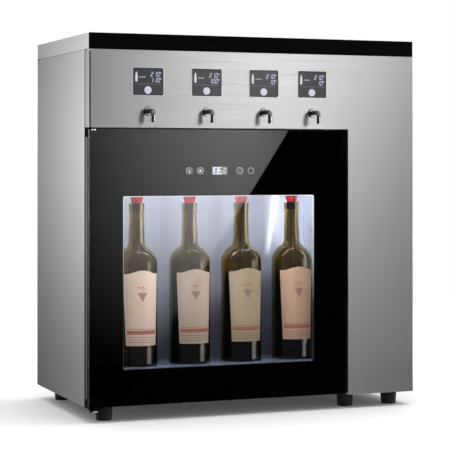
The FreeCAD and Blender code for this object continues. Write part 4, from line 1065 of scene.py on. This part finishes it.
def make_display_digits(n, window, back):
    """Two rows of figures, each with a small dot behind it."""
    outlines = []
    for row, text in enumerate((FIRST_ROW, SECOND_ROWS[n - 1])):
        top = window.top - ROW_TOP - ROW_STEP * row
        for place, figure in enumerate(reversed(text)):
            left = window.right - LAST_DIGIT_X - DIGIT_STEP * place
            outlines += digit_outlines(figure, left, top, DISPLAY_DIGIT)
        outlines.append(ring_outline(window.right - DOT_X, top - DOT_Z, DOT_R, 16))
    add_prisms(f"display_digits_{n}", outlines, back - PRINT_T, back, "digit_lit", "button_light")


def make_display_icon(n, window, back):
    """A bottle and three dashes."""
    axis = window.left + ICON_X
    outlines = [[(axis + x * MM, window.top + z * MM) for x, z in ICON_BOTTLE]]
    base, top = window.top + DASH_BASE, window.top + DASH_TOP
    outlines += [box_outline(axis + x0 * MM, axis + x1 * MM, base, top) for x0, x1 in ICON_DASHES]
    add_prisms(f"display_icon_{n}", outlines, back - PRINT_T, back, "icon_lit", "button_light")


def make_display_line(n, window, back):
    left, right = window.left + LINE_LEFT, window.right - LINE_RIGHT
    line = box_outline(left, right, window.top + LINE_BASE, window.top + LINE_TOP)
    add_prisms(f"display_line_{n}", [line], back - FAINT_T, back, "faint_print", "button_light")


def make_button_ring(n, face):
    button = middle_of(f"button_{n}")
    add_frame(
        f"button_ring_{n}", ring_outlines(button.x, button.z, BUTTON_RING_R, BUTTON_RING_HOLE, 64),
        face - BUTTON_RING_OUT, face - AIR, "button_ring",
        "black_plastic", smooth_to=30, edge=0.12 * MM, segments=1,
    )


def make_display(n):
    """A display's rim and print, and the ring around its button."""
    window = display_window(n)
    back = window.face - AIR
    make_display_rim(n, window)
    make_display_edge(n, window, back)
    make_display_digits(n, window, back)
    make_display_icon(n, window, back)
    make_display_line(n, window, back)
    make_button_ring(n, window.face)


# ------ door: touch controls and glazing

TOUCH_NEAR, TOUCH_FAR = PRINT_Y - 0.05 * MM, PRINT_Y + 0.05 * MM
TOUCH_Z = 431.5 * MM
TOUCH_X = [-127.2 * MM, -106.1 * MM, -31.9 * MM, -10.7 * MM]
TOUCH_R = 5.9 * MM
TOUCH_LINE, TOUCH_DIM_LINE = 0.75 * MM, 1.5 * MM
READOUT_X = -69.2 * MM
READOUT_W = 27.4 * MM
READOUT_H = 12.8 * MM
READOUT_LEFT, READOUT_RIGHT = READOUT_X - READOUT_W / 2, READOUT_X + READOUT_W / 2
READOUT_SPLIT = READOUT_LEFT + 0.62 * READOUT_W  # between its lit and its dim field
READOUT_DIGIT = Digit(5.0 * MM, 8.8 * MM, 1.9 * MM, 0.08)
FIGURE_BACK = PRINT_Y - 0.01 * MM


def make_touch_rings():
    """Three lit rings, the third with a minus, and a dim one."""
    mesh = bmesh.new()
    for x in TOUCH_X[:3]:
        frame_prism(mesh, *ring_outlines(x, TOUCH_Z, TOUCH_R, TOUCH_R - TOUCH_LINE), TOUCH_NEAR, TOUCH_FAR)
    x, half, thin = TOUCH_X[2], 1.5 * MM, 0.35 * MM
    prism(mesh, box_outline(x - half, x + half, TOUCH_Z - thin, TOUCH_Z + thin), TOUCH_NEAR, TOUCH_FAR)
    add_piece("touch_rings", mesh, "touch_print", body="door")
    dim = ring_outlines(TOUCH_X[3], TOUCH_Z, TOUCH_R, TOUCH_R - TOUCH_DIM_LINE)
    add_frame("touch_ring_dim", dim, TOUCH_NEAR, TOUCH_FAR, "touch_dim", body="door")


def make_touch_dots():
    """A small diamond in the second ring and an upright bar in the first."""
    diamond = ring_outline(TOUCH_X[1], TOUCH_Z, 2.0 * MM, 4)
    x, half = TOUCH_X[0], 0.5 * MM
    bar = round_box_outline(x - half, x + half, TOUCH_Z - 3.4 * MM, TOUCH_Z + 2.4 * MM, 0.45 * MM, 3)
    add_prisms("touch_dot", [diamond, bar], TOUCH_NEAR, TOUCH_FAR, "touch_dot", "button_light", body="door")


def make_readout_field(name, left, right):
    field = box_outline(left, right, TOUCH_Z - READOUT_H / 2, TOUCH_Z + READOUT_H / 2)
    add_prisms(name, [field], PRINT_Y, TOUCH_FAR, name, "button_light", body="door")


def make_readout_figures():
    """Two dark figures on the lit field, and a ring and a dash on the dim one."""
    outlines = []
    for x in (3.2 * MM, 11.8 * MM):
        outlines += digit_outlines("0", READOUT_LEFT + x, TOUCH_Z + 4.4 * MM, READOUT_DIGIT)
    add_prisms("readout_digits", outlines, TOUCH_NEAR, FIGURE_BACK, "readout_figures", body="door")
    mesh = bmesh.new()
    circle = ring_outlines(READOUT_SPLIT + 4.6 * MM, TOUCH_Z - 2.2 * MM, 2.4 * MM, 1.5 * MM, 20)
    frame_prism(mesh, *circle, TOUCH_NEAR, FIGURE_BACK)
    left, right = READOUT_SPLIT + 4.8 * MM, READOUT_SPLIT + 8.2 * MM
    prism(mesh, box_outline(left, right, TOUCH_Z + 2.4 * MM, TOUCH_Z + 4.6 * MM), TOUCH_NEAR, FIGURE_BACK)
    add_piece("readout_marks", mesh, "touch_print", body="door")


def make_glazing_spacer():
    """The edge between the panes, round the window, pale from its painted glow."""
    outer = inset_outline(DOOR_WINDOW, 0, 0, 3 * MM)
    inner = inset_outline(DOOR_WINDOW, 1.3 * MM, 1.0 * MM, 2.2 * MM)
    add_frame(
        "glazing_spacer", (outer, inner), BEZEL_FRONT + 0.1 * MM, BEZEL_FRONT + 4.6 * MM, "glazing_spacer",
        "plain_steel", body="door", edge=0.2 * MM, segments=1,
    )


# ------ casing and chamber details

EDGING_X = 0.4 * MM  # from the left side panel's outer face
EDGING_OUT = 0.25 * MM  # in front of it
PIN_DROP = 1.6 * MM  # from the door's top to the hinge pins' axes
PIN_PROFILE = [(0, 2.6), (0.8, 2.4), (1.3, 1.6), (1.3, 0), (0, 0)]
PIN_X = (6.0 * MM, 10.6 * MM)

COLLAR_T = 3.5 * MM  # how far the spouts' collars stand out
COLLAR_HOLE_R = 4.1 * MM
SEAL_W = 1.1 * MM
SEAL_OUT = 1.0 * MM
STEP_OUT = 0.25 * MM

LINER_T = 1.5 * MM
WALL, BACK = LINER_HIGH.x - LINER_T, LINER_HIGH.y - LINER_T  # the chamber's inner faces
LINER_SCREWS = [(-0.0314, 0.319), (-0.0314, 0.1)]  # y and z of their axes
SCREW_PROFILE = [(0, 2.2), (1.8, 1.9), (3.4, 0.7), (3.6, 0.05), (0, 0.05)]
SEAM_END = 8 * MM  # from the walls to the seams' ends


def make_edging(name, beside, width):
    """Black edging on the front of the left side panel, as high as a node beside it; its black is partly
    painted shade of the gap there.
    """
    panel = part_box("side_panel_left")[0]
    low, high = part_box(beside)
    strip = box_outline(panel.x + EDGING_X, panel.x + width, low.z, high.z)
    add_prisms(name, [strip], panel.y - EDGING_OUT, panel.y - AIR, "edging_and_gap_shade", "black_rubber")


def make_bracket_highlight():
    """A painted highlight along the lower edge of the lower hinge bracket."""
    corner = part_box("hinge_brackets")[0]
    edge = box_outline(corner.x + 6.4 * MM, corner.x + 14.2 * MM, corner.z, corner.z + 0.9 * MM)
    add_prisms("bracket_highlight", [edge], corner.y - 0.15 * MM, corner.y - AIR, "painted_glint", "plain_steel")


def make_hinge_pins():
    """The heads of two pins in the door's top left corner, which glow as a painted glint."""
    mesh = bmesh.new()
    for x in PIN_X:
        at = Matrix.Translation((DOOR_LOW.x + x, DOOR_LOW.y + 1.2 * MM, DOOR_HIGH.z - PIN_DROP))
        add_turned(mesh, PIN_PROFILE, at @ Matrix.Rotation(math.pi / 2, 4, "X"), 20)
    add_piece("hinge_pins", mesh, "painted_glint", "plain_steel", "door", smooth_to=50)


def make_spout_seals(n):
    """The rubber seal around a spout's collar, whose black is partly painted shade at the collar's foot, and
    the darker step in the collar's face.
    """
    low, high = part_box(f"spout_{n}")
    radius = (high.x - low.x) / 2
    x, z, face = (low.x + high.x) / 2, high.z - radius, FRONT - COLLAR_T
    seal = ring_outlines(x, z, radius + SEAL_W, radius + 0.05 * MM)
    out, back = FRONT - SEAL_OUT, FRONT - AIR
    add_frame(f"spout_seal_{n}", seal, out, back, "spout_seal_and_shade", "black_rubber", edge=0.25 * MM)
    step = ring_outlines(x, z, radius - 0.5 * MM, COLLAR_HOLE_R)
    add_frame(f"spout_step_{n}", step, face - STEP_OUT, face - AIR, "collar_step", "chrome_plate")


def make_liner_screws():
    mesh = bmesh.new()
    for y, z in LINER_SCREWS:
        place = Matrix.Translation((WALL, y, z)) @ Matrix.Rotation(-math.pi / 2, 4, "Y")
        add_turned(mesh, SCREW_PROFILE, place, 24)
    add_piece("liner_screws", mesh, "chamber_screw", "plain_steel", smooth_to=50)


def make_liner_seams():
    """An upright seam on the right wall and a level one on the back wall."""
    base, top, left = LINER_LOW.z + SEAM_END, LINER_HIGH.z - SEAM_END, LINER_LOW.x + SEAM_END
    mesh = bmesh.new()
    prism(mesh, box_outline(WALL - 0.9 * MM, WALL - 0.05 * MM, base, top), -3.5 * MM, -2 * MM)
    level = box_outline(left, WALL - 1.5 * MM, 94 * MM, 95.5 * MM)
    prism(mesh, level, BACK - 1.3 * MM, BACK - 0.05 * MM)
    add_piece("liner_seams", mesh, "liner_steel", "liner_steel", edge=0.3 * MM)


def make_liner_clip():
    clip = box_outline(WALL - 5 * MM, WALL - 0.05 * MM, 169 * MM, 174 * MM)
    add_prisms("liner_clip", [clip], -42 * MM, -34 * MM, "plain_steel", "liner_steel", edge=0.6 * MM)


# ------ the scene

make_casing_materials()
make_door_materials()
make_display_materials()
make_bottle_materials()
make_inner_materials()
make_camera()
make_world()
make_floor()
make_card("softbox", [(x, BOX_Y, z) for x, z in BOX_CORNERS], box_levels)
make_side_card()
make_chamber_glow()
make_chamber_beam()
make_right_strip()
make_chamber_glint()
make_studio_lamps()
make_chamber_lamps()
for bottle in NUMBERS:
    make_bottle_lamps(bottle)
paint_cad_nodes()
round_cad_edges()
for bottle in NUMBERS:
    make_wine(bottle)
    make_label_paper(bottle)
    make_label_print(bottle)
    make_label_band(bottle)
    make_display(bottle)
    make_spout_seals(bottle)
make_touch_rings()
make_touch_dots()
make_readout_field("readout_lit", READOUT_LEFT, READOUT_SPLIT)
make_readout_field("readout_dim", READOUT_SPLIT, READOUT_RIGHT)
make_readout_figures()
make_glazing_spacer()
make_edging("front_edging", "door_glass", 12.5 * MM)
make_edging("cap_edging", "fascia_end_cap", 2.4 * MM)
make_bracket_highlight()
make_hinge_pins()
make_liner_screws()
make_liner_seams()
make_liner_clip()
